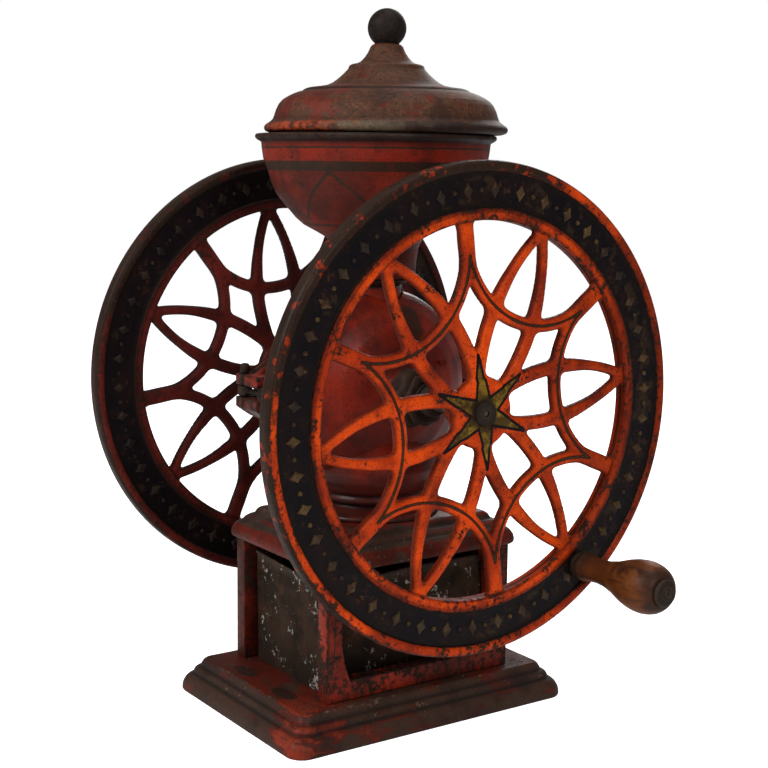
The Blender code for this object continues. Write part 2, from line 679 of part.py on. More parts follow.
def wheel(name, outside, turn_degrees, finish_name, more_cutters=()):
    """A cast wheel. outside is 1 for the wheel at +X and -1 for the one at -X."""
    centre_x, inward = outside * WHEEL_X, -outside
    edge = [(WEB_HALF, 0.775), (0.032, 0.781), (0.032, 0.812), (WEB_HALF, 0.814), (WEB_HALF, 0.955),
            (0.038, 0.961), (0.035, 1.0)]
    rim = edge + [(-a, r) for a, r in reversed(edge)]
    hub = [(outside * WEB_HALF, 0.143), (outside * 0.030, 0.136), (outside * 0.030, BORE_R),
           (inward * 0.141, BORE_R), (inward * 0.141, 0.076), (inward * 0.045, 0.088),
           (inward * WEB_HALF, 0.143)]
    bm = bmesh.new()

    def ring(along, radius, steps):
        return [bm.verts.new(p) for p in circle("X", (centre_x, 0, AXLE_Z), along, radius, steps)]

    def skin(rings):
        for low, high in zip(rings, rings[1:]):
            for i in range(len(low)):
                j = (i + 1) % len(low)
                bm.faces.new([low[i], low[j], high[j], high[i]])

    rim_rings = [ring(a, r, RIM_STEPS) for a, r in rim]
    hub_rings = [ring(a, r, RIM_STEPS // 2) for a, r in hub]
    skin(rim_rings)
    skin(hub_rings)
    outlines = openings(math.radians(turn_degrees))
    walls = []
    for outline in outlines:
        pair = [[bm.verts.new((centre_x + a, y, AXLE_Z + z)) for y, z in outline]
                for a in (WEB_HALF, -WEB_HALF)]
        skin(pair)
        walls.append(pair)
    hub_ends = (hub_rings[0], hub_rings[-1]) if outside > 0 else (hub_rings[-1], hub_rings[0])
    for face in (0, 1):
        loops = [rim_rings[-face], hub_ends[face]] + [pair[face] for pair in walls]
        fill_between(bm, loops)
    made = finish(bm, name, finish_name, origin=(centre_x, 0, AXLE_Z))
    x_low, x_high = sorted((outside * 0.60, outside * 0.705 + outside * GAP))
    key_room = box(f"cut_{name}_key", (x_low, -mm(2) - GAP, AXLE_Z),
                   (x_high, mm(2) + GAP, AXLE_Z + AXLE_R + mm(2) + GAP), cutter=True)
    combine(made, "DIFFERENCE", [key_room, *more_cutters])


def fill_between(bm, loops):
    """Flat faces between an outer loop, loops[0], and the loops inside it."""
    verts = [vert for loop in loops for vert in loop]
    edges, start = [], 0
    for loop in loops:
        edges += [(start + i, start + (i + 1) % len(loop)) for i in range(len(loop))]
        start += len(loop)
    places, _, faces, origins, _, _ = delaunay_2d_cdt([vert.co.yz for vert in verts], edges, [], 0,
                                                      1e-7)
    outlines = [[vert.co.yz for vert in loop] for loop in loops]
    for face in faces:
        middle = sum((places[i] for i in face), Vector((0, 0))) / len(face)
        if inside(middle, outlines[0]) and not any(inside(middle, hole) for hole in outlines[1:]):
            bm.faces.new([verts[origins[i][0]] for i in face])


def inside(point, outline):
    """Whether a point lies in an outline, by counting crossings."""
    crossings = 0
    for low, high in zip(outline, outline[1:] + outline[:1]):
        if (low.y > point.y) != (high.y > point.y):
            crossings += point.x < low.x + (point.y - low.y) / (high.y - low.y) * (high.x - low.x)
    return crossings % 2 == 1


def wheels():
    spindle_hole = hole("cut_spindle", "X", (0, *CRANK_YZ), 0.70, 0.85, SPINDLE_R + GAP)
    wheel("front_wheel", 1, WHEEL_TURN[0], "front_wheel_paint", [spindle_hole])
    wheel("rear_wheel", -1, WHEEL_TURN[1], "rear_wheel_paint")
    for name, side in (("front_wheel_nut", 1), ("rear_wheel_nut", -1)):
        low, high = sorted((side * (WHEEL_X + 0.030 + GAP), side * WHEEL_NUT_END))
        tube(name, low, high, BORE_R, 0.058, "worn_iron", centre=(0, 0, AXLE_Z), steps=24,
             origin=(0, 0, AXLE_Z))


def crank():
    centre = (0, *CRANK_YZ)
    face = WHEEL_X + WEB_HALF + GAP
    turned("crank_spindle", [(0.700, 0), (0.700, SPINDLE_R), (face, SPINDLE_R), (face, 0.050),
                             (0.806, 0.056), (0.814, 0.050), (0.814, SPINDLE_R),
                             (SPINDLE_END, SPINDLE_R), (SPINDLE_END, 0)], "dark_iron",
           centre=centre, steps=16, origin=centre)
    hex_ring("spindle_nut", 0.708, WHEEL_X - WEB_HALF - GAP, SPINDLE_R + GAP, 0.080, "dark_iron",
             "X", centre, origin=centre)
    bore = SPINDLE_R + mm(0.5)
    grip = [(0.816, bore), (0.816, 0.053), (0.826, 0.062), (0.850, 0.061), (0.885, 0.054),
            (0.925, 0.051), (0.970, 0.055), (1.030, 0.069), (1.097, 0.093), (1.157, 0.107),
            (1.200, 0.109), (1.240, 0.102), (1.270, 0.087), (1.286, 0.070), (1.290, bore)]
    turned("crank_grip", grip, "wood", centre=centre, steps=24, closed=True, origin=centre)
    tube("grip_end_cap", 1.290 + GAP, 1.312, SPINDLE_R + GAP, 0.056, "dark_iron", centre=centre,
         steps=24, origin=centre)


# ---------------------------------------------------------------- hopper and lid

def set_screw(name, side, levels, cutter=False):
    """A shape along Y at the hopper's neck. levels lists (distance from the axis, radius)."""
    phase = CUT_PHASE if cutter else 0.0
    rings = [[(x, side * reach, SET_SCREW_Z + z)
              for x, z, _ in circle("Z", (0, 0, 0), 0, radius, 12, phase)] for reach, radius in levels]
    return finish(bridged(rings, False), name, "dark_iron", cutter=cutter)


def hopper():
    outside = [(NECK_BOTTOM, NECK_R), (1.950, 0.180), (2.020, 0.190), (2.063, 0.213),
               (2.117, 0.310), (2.180, 0.373), (2.253, 0.431), (2.350, 0.467), (2.400, 0.486),
               (2.470, 0.495), (2.482, 0.520), (2.503, 0.517)]
    inside_wall = [(2.505, 0.470), (2.400, 0.462), (2.350, 0.442), (2.253, 0.404), (2.185, 0.345),
                   (2.125, 0.283), (2.080, 0.190), (2.030, 0.160), (NECK_BOTTOM, 0.150)]
    bowl = turned("hopper_bowl", outside + inside_wall, "hopper_paint", axis="Z", closed=True)
    tip, head = SPIGOT_R + GAP, NECK_R + 2 * GAP
    shape = [(tip, SET_SCREW_R), (head, SET_SCREW_R), (head, mm(4)), (head + 0.014, mm(4))]
    for name, side in (("hopper_set_screw_front", -1), ("hopper_set_screw_back", 1)):
        set_screw(name, side, shape)
    room = [(0.12, SET_SCREW_R + GAP), (0.25, SET_SCREW_R + GAP)]
    combine(bowl, "DIFFERENCE", [set_screw(f"cut_set_screw_{i}", side, room, cutter=True)
                                 for i, side in enumerate((-1, 1))])


def lid_parts():
    centre = (*LID_SHIFT, 0)
    lid = [(2.470, 0.416), (2.470, 0.404), (2.630, 0.400), (2.660, 0.350), (2.690, 0.240),
           (2.750, 0.150), (2.775, 0.100), (2.790, 0.050), (2.835, 0.035), (2.835, 0.0175),
           (2.887, 0.0175), (2.887, 0.057), (2.873, 0.068), (2.845, 0.083), (2.812, 0.115),
           (2.800, 0.146), (2.740, 0.208), (2.712, 0.254), (2.694, 0.340), (2.684, 0.378),
           (2.655, 0.438), (2.600, 0.476), (2.568, 0.485), (2.548, 0.512), (2.532, 0.525),
           (2.516, 0.520), (2.508, 0.500), (2.508, 0.416)]
    turned("lid", lid, "lid_paint", axis="Z", centre=centre, closed=True, origin=centre)
    ball_z, ball_r, neck_r, steps = 2.955, 0.083, 0.050, 8
    low = math.asin(neck_r / ball_r)
    ball = [(ball_z - ball_r * math.cos(low + (math.pi - low) * i / steps),
             ball_r * math.sin(low + (math.pi - low) * i / steps)) for i in range(steps)]
    stud = [(2.790, 0), (2.790, 0.016), (2.888, 0.016), (2.888, neck_r)]
    turned("lid_finial", stud + ball + [(ball_z + ball_r, 0)], "dark_iron", axis="Z",
           centre=centre, steps=20, origin=centre)
    hex_ring("finial_nut", 2.802, 2.835 - GAP, 0.016 + GAP, 0.052, "dark_iron", "Z", centre,
             origin=centre)


def foot_bolts():
    for name, y in zip(("drum_foot_bolt_front", "drum_foot_bolt_back"), FOOT_BOLT_Y):
        bolt(name, (0, y, 0), 0.897 + GAP, 0.916, 0.818, mm(8), TIE_R, "dark_iron")


def stand_on_origin():
    """Hangs every object on one empty, placed so that the origin is midway along the mill."""
    mill = bpy.data.objects.new("mill", None)
    mill.location.x = (WHEEL_NUT_END - SPINDLE_END) / 2 * WHEEL_RADIUS
    for made in bpy.data.objects:
        if made != mill:
            made.parent = mill
    bpy.context.scene.collection.objects.link(mill)


for old in list(bpy.data.objects):
    bpy.data.objects.remove(old)
MATERIALS = {name: material(name, *values) for name, values in FINISHES.items()}
base_plate()
side_frame("side_frame_rear_wheel", -1)
side_frame("side_frame_crank", 1)
top_plate()
tie_bolts()
drawer_tin()
drum_body()
drum_cover()
hinge_and_latch()
feed_throat()
grinding_parts()
axle_and_bearings()
grind_adjuster()
wheels()
crank()
hopper()
lid_parts()
foot_bolts()
stand_on_origin()
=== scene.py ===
"""Looks for the counter coffee mill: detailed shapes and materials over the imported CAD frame.

Lengths are in wheel radii unless a name says otherwise, and WHEEL_RADIUS turns them into metres.
The axle runs along X, +Z is up and the drawer faces -Y, as in the CAD.
"""

import math

import bmesh
import bpy
import numpy as np
from mathutils import Matrix, Vector


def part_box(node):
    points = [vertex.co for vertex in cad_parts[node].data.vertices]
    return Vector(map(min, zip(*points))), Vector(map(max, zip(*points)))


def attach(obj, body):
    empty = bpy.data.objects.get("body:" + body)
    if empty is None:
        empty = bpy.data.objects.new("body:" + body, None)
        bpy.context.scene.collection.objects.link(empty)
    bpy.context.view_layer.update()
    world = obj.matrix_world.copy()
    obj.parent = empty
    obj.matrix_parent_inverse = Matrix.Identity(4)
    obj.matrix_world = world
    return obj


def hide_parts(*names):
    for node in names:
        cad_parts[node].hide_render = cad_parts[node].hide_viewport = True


WHEEL_RADIUS = 0.235  # metres


def mm(length):
    """Millimetres as wheel radii."""
    return length * 0.001 / WHEEL_RADIUS


AXLE_Z = 1.402
AXLE_R = mm(8.5)
WHEEL_X = 0.761
WHEEL_TURN = {1: math.radians(7.3), -1: math.radians(37.3)}  # by side: +X front, -X rear
CRANK_ANGLE = math.radians(-52.7)
CRANK_YZ = (0.880 * math.cos(CRANK_ANGLE), AXLE_Z + 0.880 * math.sin(CRANK_ANGLE))
BASE_TOP = 0.150
FRAME_TOP = 0.710
TOP_Z = 0.855
LID_CENTRE = (0.024, 0.035)
LATCH_PIN = (-0.031, -0.630)
SLOT_Z = (1.410, 1.458)
LATCH_Z = sum(SLOT_Z) / 2
HINGE_PIN = (0.0, 0.520)
NECK_BOTTOM = 1.892

# tracery and rim of the wheels
CHANNEL = (0.8155, 0.9555)
RIM_INNER = 0.765
HUB_R = 0.148
SCALLOP_CENTRE = 0.800
SCALLOP_R = 0.405
SCALLOP_HALF = 0.028
PETAL_ARC_CENTRE = (0.370, -0.713)
PETAL_ARC_R = 0.820
PETAL_HALF = (0.030, 0.0215)
CORNER_BLEND = 0.026

# the hopper's painted zigzag: angle of a peak and half a repeat, in radians
ZIGZAG_HALF = math.pi / 6
ZIGZAG_START = math.radians(58 + 360)


# ---------------------------------------------------------------- materials

class Value:
    """A number or a colour inside a material, with arithmetic."""

    def __init__(self, look, socket):
        self.look = look
        self.socket = socket

    def __add__(self, other):
        return self.look.math("ADD", self, other)

    def __sub__(self, other):
        return self.look.math("SUBTRACT", self, other)

    def __mul__(self, other):
        return self.look.math("MULTIPLY", self, other)

    __rmul__ = __mul__


class Look:
    """A procedural material. Its steps return values that later steps take."""

    def __init__(self, name):
        self.material = bpy.data.materials.new(name)
        self.material.use_nodes = True
        self.tree = self.material.node_tree
        self.shader = self.tree.nodes["Principled BSDF"]
        self.place = self.output("ShaderNodeTexCoord", "Object")
        self.colour = None
        self.bump = None

    def output(self, kind, key):
        """One output of a new node that needs no inputs."""
        return Value(self, self.tree.nodes.new(kind).outputs[key])

    def feed(self, socket, value):
        if isinstance(value, Value):
            self.tree.links.new(value.socket, socket)
        elif isinstance(value, tuple) and len(value) == 3 and socket.type == "RGBA":
            socket.default_value = (*value, 1.0)
        else:
            socket.default_value = value

    def math(self, operation, *values):
        node = self.tree.nodes.new("ShaderNodeMath")
        node.operation = operation
        for socket, value in zip(node.inputs, values):
            self.feed(socket, value)
        return Value(self, node.outputs[0])

    def larger(self, a, b):
        return self.math("MAXIMUM", a, b)

    def weighted(self, first, *others):
        """The sum of value times weight."""
        total = first[0] * first[1]
        for value, weight in others:
            total = self.math("MULTIPLY_ADD", value, weight, total)
        return total

    def step(self, value, low, high):
        """0 below low, 1 above high and smooth between; low may be above high."""
        node = self.tree.nodes.new("ShaderNodeMapRange")
        node.interpolation_type = "SMOOTHSTEP"
        flip = low > high
        self.feed(node.inputs["Value"], value)
        self.feed(node.inputs["From Min"], min(low, high))
        self.feed(node.inputs["From Max"], max(low, high))
        self.feed(node.inputs["To Min"], 1.0 if flip else 0.0)
        self.feed(node.inputs["To Max"], 0.0 if flip else 1.0)
        return Value(self, node.outputs["Result"])

    def within(self, value, low, high, soft):
        """1 between low and high, fading over soft outside them."""
        return self.step(value, low - soft, low) * self.step(value, high + soft, high)

    def noise(self, scale, detail=3.0, roughness=0.6, stretch=(1, 1, 1), shift=0.0, warp=0.0):
        """Cloudy noise around 0.5. scale is per metre."""
        mapping = self.tree.nodes.new("ShaderNodeMapping")
        self.feed(mapping.inputs["Vector"], self.place)
        mapping.inputs["Scale"].default_value = stretch
        mapping.inputs["Location"].default_value = (shift, shift * 0.7, shift * 1.3)
        node = self.tree.nodes.new("ShaderNodeTexNoise")
        self.tree.links.new(mapping.outputs["Vector"], node.inputs["Vector"])
        node.inputs["Scale"].default_value = scale
        node.inputs["Detail"].default_value = detail
        node.inputs["Roughness"].default_value = roughness
        node.inputs["Distortion"].default_value = warp
        return Value(self, node.outputs["Fac"])

    def jitter(self, amount, *noise, **more):
        """Noise around 0 that spans the amount."""
        return (self.noise(*noise, **more) - 0.5) * amount

    def blotches(self, low, high, *noise, **more):
        """Patches of 1 where noise is above high, fading to 0 at low."""
        return self.step(self.noise(*noise, **more), low, high)

    def mottle(self, one, other, *noise, **more):
        """A colour that drifts with noise from one tone to another."""
        return self.mix(self.noise(*noise, **more), one, other)

    def attribute(self, name):
        node = self.tree.nodes.new("ShaderNodeAttribute")
        node.attribute_name = name
        return Value(self, node.outputs["Fac"])

    def axes(self):
        """The point's x from the drum's split plane, y and z, in wheel radii."""
        node = self.tree.nodes.new("ShaderNodeSeparateXYZ")
        self.feed(node.inputs[0], self.place)
        x, y, z = [Value(self, output) * (1 / WHEEL_RADIUS) for output in node.outputs]
        return x - DRUM_X / WHEEL_RADIUS, y, z

    def oval(self, u, v, centre, half):
        """0 at the centre of an oval of these half widths, 1 on its outline."""
        across = (u - centre[0]) * (1 / half[0])
        along = (v - centre[1]) * (1 / half[1])
        return across * across + along * along

    def mix(self, share, a, b):
        node = self.tree.nodes.new("ShaderNodeMix")
        node.data_type = "RGBA"
        self.feed(node.inputs[0], share)
        self.feed(node.inputs[6], a)
        self.feed(node.inputs[7], b)
        return Value(self, node.outputs[2])

    def paint(self, share, tone, strength=1.0):
        """Lays a tone over the colour so far, where share is above 0."""
        if strength != 1.0:
            share = share * strength
        self.colour = self.mix(share, self.colour, tone)

    def emboss(self, height, depth_mm):
        """Adds a bump whose height of 1 stands for depth_mm."""
        node = self.tree.nodes.new("ShaderNodeBump")
        node.inputs["Strength"].default_value = 1.0
        node.inputs["Distance"].default_value = depth_mm * 0.001
        self.feed(node.inputs["Height"], height)
        if self.bump:
            self.feed(node.inputs["Normal"], self.bump)
        self.bump = Value(self, node.outputs["Normal"])

    def done(self, roughness, metallic=0.0, coat=0.0, specular=0.12):
        """Sets the shader's inputs and gives the material."""
        self.feed(self.shader.inputs["Base Color"], self.colour)
        self.feed(self.shader.inputs["Roughness"], roughness)
        self.feed(self.shader.inputs["Metallic"], metallic)
        self.feed(self.shader.inputs["Coat Weight"], coat)
        self.feed(self.shader.inputs["Specular IOR Level"], specular)
        self.shader.inputs["Coat Roughness"].default_value = 0.25
        if self.bump:
            self.feed(self.shader.inputs["Normal"], self.bump)
        return self.material


BARE = ((0.009, 0.005, 0.004), (0.034, 0.015, 0.009))  # iron under lost paint, dark and light


def age(look, chips=0.66, edge=0.22, dirt=0.7, rust=0.4, gloss=0.42, bare=BARE,
        grain_mm=0.22, coat=0.0, specular=0.12):
    """Ages painted iron: stains, thinned paint, chips down to iron, dirt in hollows, cast grain.

    chips is the noise level where paint is lost: lower loses more. edge adds loss on edges.
    """
    wear = look.attribute("wear")
    hollow = look.attribute("grime")
    fine = look.noise(190, 5, 0.65)
    medium = look.noise(46, 5, 0.62, shift=3.0)
    large = look.noise(13, 3, 0.55, shift=7.0)
    loss = look.weighted((fine, 0.5), (medium, 0.36), (large, 0.14)) + wear * edge
    thin = look.step(loss, chips - 0.055, chips)
    chip = look.step(loss, chips, chips + 0.012)
    stain = look.step(look.weighted((medium, 0.55), (large, 0.45)), 0.47, 0.62) * rust
    look.paint(stain, (0.045, 0.018, 0.010))
    shade = look.blotches(0.46, 0.68, 24, 5, 0.62, shift=11.0)
    look.paint(shade, (0.01, 0.004, 0.003), 0.55)
    look.paint(thin, (0.018, 0.006, 0.004), 0.55)
    iron = look.mix(look.step(fine, 0.42, 0.62), *bare)
    look.paint(chip, iron)
    specks = look.blotches(0.62, 0.68, 560, 2, 0.5, shift=5.0)
    look.paint(specks, (0.01, 0.006, 0.005), 0.75)
    grit = look.blotches(0.48, 0.66, 380, 4, 0.7, shift=15.0)
    look.paint(grit, (0.014, 0.006, 0.004), 0.3)
    look.paint(hollow * dirt, (0.006, 0.004, 0.003))
    roughness = look.weighted((fine, 0.22), (chip, 0.28), (stain, 0.25)) + (gloss - 0.11)
    look.emboss(look.weighted((chip, -1.0), (thin, -0.25)), 0.16)
    look.emboss(look.weighted((fine, 0.6), (look.noise(520, 3, 0.6), 0.4)), grain_mm)
    return look.done(roughness, 0.0, coat, specular)


def enamel(name, paint, second, **ageing):
    """Plain enamel that drifts between two tones."""
    look = Look(name)
    drift = look.blotches(0.38, 0.62, 17, 4, 0.6, shift=1.0)
    look.colour = look.mix(drift, paint, second)
    return age(look, **ageing)


def wheel_look(name, side, paint, second, bare_from):
    """Paint of a wheel: tracery with pinstripes and a star, a dark channel and a worn rim, with painted
    shade on its side away from the light and on the inner ring's slopes.
    """
    look = Look(name)
    x, y, z = look.axes()
    z = z - AXLE_Z
    radius = look.math("SQRT", y * y + z * z)
    reach = radius + look.jitter(0.016, 120, 4, 0.6, shift=2.0)
    outward = (x - side * WHEEL_X) * float(side)
    drift = look.blotches(0.36, 0.64, 15, 4, 0.6, shift=1.0)
    look.colour = look.mix(drift, paint, second)
    # painted shade: the paint darkens towards +Y, the wheel's side turned away from the key light
    painted_shade_side = y + look.jitter(0.9, 26, 4, shift=13.0)
    painted_shade_tone = tuple(0.36 * part for part in second)
    look.paint(look.step(painted_shade_side, 0.15, 0.95), painted_shade_tone, 0.8)
    # painted shade on the inner ring's slopes, down into the openings and down into the channel
    slope = look.larger(look.within(reach, 0.801, CHANNEL[0], 0.008), look.step(reach, 0.780, 0.768))
    slope = slope * look.step(reach, 0.757, 0.764)
    look.paint(slope, painted_shade_tone, 0.62)

    outer_face = look.step(outward, 0.002, 0.004)
    stripe = look.attribute("stripe") + look.jitter(0.007, 55, 3, shift=8.0)
    line = look.step(stripe, 0.0078, 0.006) * outer_face
    look.paint(line, (0.008, 0.004, 0.003), 0.92)
    gold = look.mottle((0.06, 0.042, 0.013), (0.018, 0.012, 0.006), 90, 3)
    line = look.step(stripe, 0.0038, 0.0022) * outer_face
    look.paint(line, gold, 0.85)
    star = look.attribute("star")
    figure = look.step(star, 0.009, 0.007) * outer_face
    look.paint(figure, (0.005, 0.003, 0.003))
    figure = look.step(star, -0.003, -0.005) * outer_face
    star_gold = look.mix(look.blotches(0.38, 0.62, 70, 4, shift=4.0), (0.24, 0.135, 0.012),
                         (0.06, 0.034, 0.007))
    rubbed = look.step(radius + look.jitter(0.05, 60, 3), 0.085, 0.055)
    star_gold = look.mix(rubbed * 0.85, star_gold, (0.02, 0.012, 0.006))
    look.paint(figure, star_gold)

    sunk = look.step(look.math("ABSOLUTE", outward), 0.034, 0.030)
    channel = look.within(reach, *CHANNEL, 0.002) * sunk
    night = look.mottle((0.0015, 0.0015, 0.0045), (0.006, 0.004, 0.004), 60, 4, shift=6.0)
    dust = look.noise(48, 5, 0.7, shift=16.0) + y * 0.06
    night = look.mix(look.step(dust, 0.53, 0.66) * 0.8, night, (0.032, 0.018, 0.01))
    look.paint(channel, night)

    # handling has taken the bead's paint off along the top, and the tread's down to one side
    cloud = look.jitter(1.5, 38, 5)
    worn = look.weighted((y, -0.55), (z, 0.83)) + cloud
    worn = look.step(worn, bare_from - 0.06, bare_from + 0.06) * look.step(reach, 0.955, 0.958)
    rubbed = look.weighted((y, -0.9), (z, 0.4)) + cloud
    rubbed = look.step(rubbed, 0.1, 0.25) * look.step(reach, 0.984, 0.99)
    worn = look.larger(worn, rubbed)
    tread = look.step(reach, 0.988, 0.993) * 0.8
    look.paint(tread, (0.075, 0.014, 0.008))
    iron = look.mottle((0.034, 0.017, 0.01), (0.012, 0.007, 0.005), 42, 5, 0.7, shift=9.0)
    remnant = look.blotches(0.6, 0.66, 75, 4, 0.6, shift=12.0)
    iron = look.mix(remnant * 0.7, iron, second)
    look.paint(worn, iron)
    return age(look, chips=0.592, edge=0.07, dirt=0.85, rust=0.1, gloss=0.42, specular=0.07)


def worn_iron(name, light, dark, gloss, metal):
    """Unpainted metal with a patina that drifts from the light tone to the dark one."""
    look = Look(name)
    patina = look.blotches(0.4, 0.62, 55, 5, 0.65)
    look.colour = look.mix(patina, light, dark)
    fine = look.noise(300, 4, 0.6)
    look.paint(look.step(fine, 0.5, 0.68), (0.045, 0.019, 0.01), 0.5)
    look.paint(look.attribute("wear"), (0.08, 0.055, 0.04), 0.25)
    look.paint(look.attribute("grime"), (0.006, 0.005, 0.004), 0.7)
    look.emboss(fine, 0.22)
    return look.done(fine * 0.25 + (gloss - 0.1), metal, specular=0.07)


def base_look():
    """The foot: brown and olive wear on the mouldings, red left in steps and on the flat."""
    look = Look("base_enamel")
    x, y, z = look.axes()
    broad = look.noise(16, 4, 0.6, stretch=(1, 1, 2.5))
    red = look.mottle((0.105, 0.012, 0.005), (0.05, 0.008, 0.005), 40, 4, shift=2.0)
    brown = look.mottle((0.058, 0.027, 0.017), (0.022, 0.012, 0.008), 34, 5, shift=8.0)
    corner = look.step(look.weighted((x, 0.8), (y, -0.9)), 0.55, 1.05)
    flat = look.step(z, 0.143, 0.149)
    streak = look.noise(30, 5, 0.7, stretch=(1, 1, 6.0), shift=4.0)
    keep = look.weighted((corner, 0.1), (flat, 0.12), (streak, 0.55)) + broad
    look.colour = look.mix(look.step(keep, 0.85, 0.91), brown, red)
    lit = look.step(keep, 0.92, 0.97) * corner
    look.paint(lit, (0.21, 0.024, 0.008))
    for centre in (-0.16, 0.17):
        spot = look.oval(x, y, (centre, -0.556), (0.085, 0.040)) + look.jitter(1.2, 90, 3)
        spot = look.step(spot, 1.1, 0.7) * flat
        look.paint(spot, (0.014, 0.009, 0.007), 0.85)
    return age(look, chips=0.64, edge=0.16, dirt=0.75, rust=0.4, gloss=0.5,
               bare=((0.026, 0.018, 0.013), (0.09, 0.06, 0.042)))


def top_look():
    """The moulding under the drum: red on its crests, grey-brown dust in its hollows."""
    look = Look("top_enamel")
    red = look.mottle((0.145, 0.012, 0.005), (0.062, 0.009, 0.005), 30, 4, shift=2.0)
    dust = look.mottle((0.062, 0.036, 0.026), (0.024, 0.014, 0.01), 44, 5, shift=5.0)
    share = look.weighted((look.attribute("grime"), 0.9), (look.noise(24, 5, 0.65, shift=3.0), 1.0))
    look.colour = look.mix(look.step(share, 0.52, 0.66), red, dust)
    return age(look, chips=0.63, edge=0.1, dirt=0.25, rust=0.3, gloss=0.46,
               bare=((0.034, 0.024, 0.019), (0.1, 0.072, 0.055)))


def hopper_look():
    """Maroon enamel with a dark band under the rim, fine lines and a zigzag."""
    look = Look("hopper_enamel")
    x, y, z = look.axes()
    drift = look.blotches(0.38, 0.62, 14, 4, 0.6, shift=1.0)
    look.colour = look.mix(drift, (0.185, 0.016, 0.005), (0.07, 0.009, 0.005))
    wobble = look.jitter(0.006, 30, 2)
    level = z + wobble
    upper = look.step(level, 2.386, 2.394)
    look.paint(upper, (0.205, 0.013, 0.004), 0.75)
    wave = look.math("PINGPONG", look.math("ARCTAN2", y, x) + ZIGZAG_START, ZIGZAG_HALF)
    zigzag = wave * (-0.2 / ZIGZAG_HALF) + 2.345
    olive = (0.018, 0.013, 0.006)
    lines = look.larger(look.within(level, 2.350, 2.388, 0.002), look.within(level, 2.441, 2.448, 0.002))
    lines = look.larger(lines, look.within(level, 2.120, 2.128, 0.002))
    slope = look.math("ABSOLUTE", level - zigzag)
    reach = look.within(level, 2.128, 2.350, 0.002)
    lines = look.larger(lines, look.step(slope, 0.0105, 0.0075) * reach)
    faded = look.blotches(0.3, 0.5, 70, 4, shift=5.0)
    outside = look.step(look.math("SQRT", x * x + y * y), 0.1, 0.12)
    lines = lines * (faded * 0.35 + 0.55) * outside
    look.paint(lines, olive)
    lip = look.mottle((0.04, 0.026, 0.02), (0.018, 0.013, 0.011), 50, 4, shift=9.0)
    look.paint(look.step(level, 2.466, 2.476), lip)
    return age(look, chips=0.64, edge=0.14, dirt=0.8, rust=0.35, gloss=0.5)


def lid_look():
    """Brown patina with red left in patches and a bead that turns from red to olive to black."""
    look = Look("lid_patina")
    x, y, z = look.axes()
    brown = look.mottle((0.102, 0.041, 0.02), (0.042, 0.018, 0.01), 48, 5, 0.65)
    spotted = look.blotches(0.52, 0.62, 230, 4, 0.7, shift=4.0)
    brown = look.mix(spotted * 0.55, brown, (0.15, 0.048, 0.018))
    pits = look.blotches(0.54, 0.64, 170, 4, 0.7, shift=14.0, stretch=(1, 1, 2))
    brown = look.mix(pits * 0.65, brown, (0.014, 0.008, 0.006))
    red = look.mottle((0.16, 0.017, 0.006), (0.075, 0.01, 0.005), 60, 4, shift=2.0)
    patch = look.weighted((look.noise(24, 5, 0.7, shift=6.0), 0.65),
                          (look.noise(95, 5, shift=3.0), 0.35))
    side = look.within(z, 2.57, 2.7, 0.02) * 0.05
    left = look.weighted((x, -0.45), (y, -0.55))
    patch = patch + (side + left * 0.2)
    look.colour = look.mix(look.step(patch, 0.54, 0.6) * 0.85, brown, red)
    bead = look.within(z, 2.512, 2.548, 0.006)
    olive = look.mottle((0.15, 0.11, 0.07), (0.034, 0.024, 0.015), 80, 4)
    edge_paint = look.mix(look.blotches(0.4, 0.6, 90, 4, shift=7.0), (0.33, 0.05, 0.012),
                          (0.07, 0.014, 0.007))
    along = left + look.jitter(0.5, 30, 4, shift=5.0)
    olive = look.mix(look.step(along, 0.02, 0.16), olive, edge_paint)
    olive = look.mix(look.step(along, -0.06, -0.24), olive, (0.020, 0.010, 0.007))
    look.paint(bead, olive, 0.9)
    shoulder = look.within(z, 2.686, 2.694, 0.002)
    look.paint(shoulder, (0.012, 0.007, 0.005), 0.7)
    return age(look, chips=0.64, edge=0.08, dirt=0.8, rust=0.2, gloss=0.58,
               bare=((0.02, 0.013, 0.01), (0.06, 0.036, 0.024)), grain_mm=0.35)


def tin_look():
    """Old tinplate: dark rust, streaks and pale flecks of tin that is left in groups."""
    look = Look("rusty_tin")
    x, y, z = look.axes()
    broad = look.noise(26, 5, 0.65)
    look.colour = look.mix(look.step(broad, 0.38, 0.62), (0.027, 0.014, 0.007),
                           (0.01, 0.006, 0.0035))
    rust = look.blotches(0.52, 0.66, 44, 5, 0.7, shift=3.0)
    look.paint(rust, (0.062, 0.023, 0.012), 0.6)
    look.paint(look.step(z, 0.42, 0.16), (0.014, 0.009, 0.007), 0.55)
    slant = look.math("SINE", look.weighted((x, 19.0), (y, 19.0), (z, 25.0)))
    group = look.weighted((look.noise(34, 3, shift=8.0, warp=0.8), 0.85), (slant, 0.045))
    fleck = look.weighted((look.noise(150, 5, 0.72, shift=6.0), 0.62), (group, 0.44))
    fleck = look.step(fleck, 0.574, 0.604)
    look.paint(fleck, (0.3, 0.28, 0.255), 0.8)
    look.paint(look.attribute("wear"), (0.09, 0.07, 0.058), 0.35)
    look.emboss(look.noise(70, 4, 0.6), 0.5)
    look.emboss(look.weighted((fleck, 0.5), (look.noise(400, 3), 0.5)), 0.14)
    return look.done(broad * 0.3 + 0.5, specular=0.06)


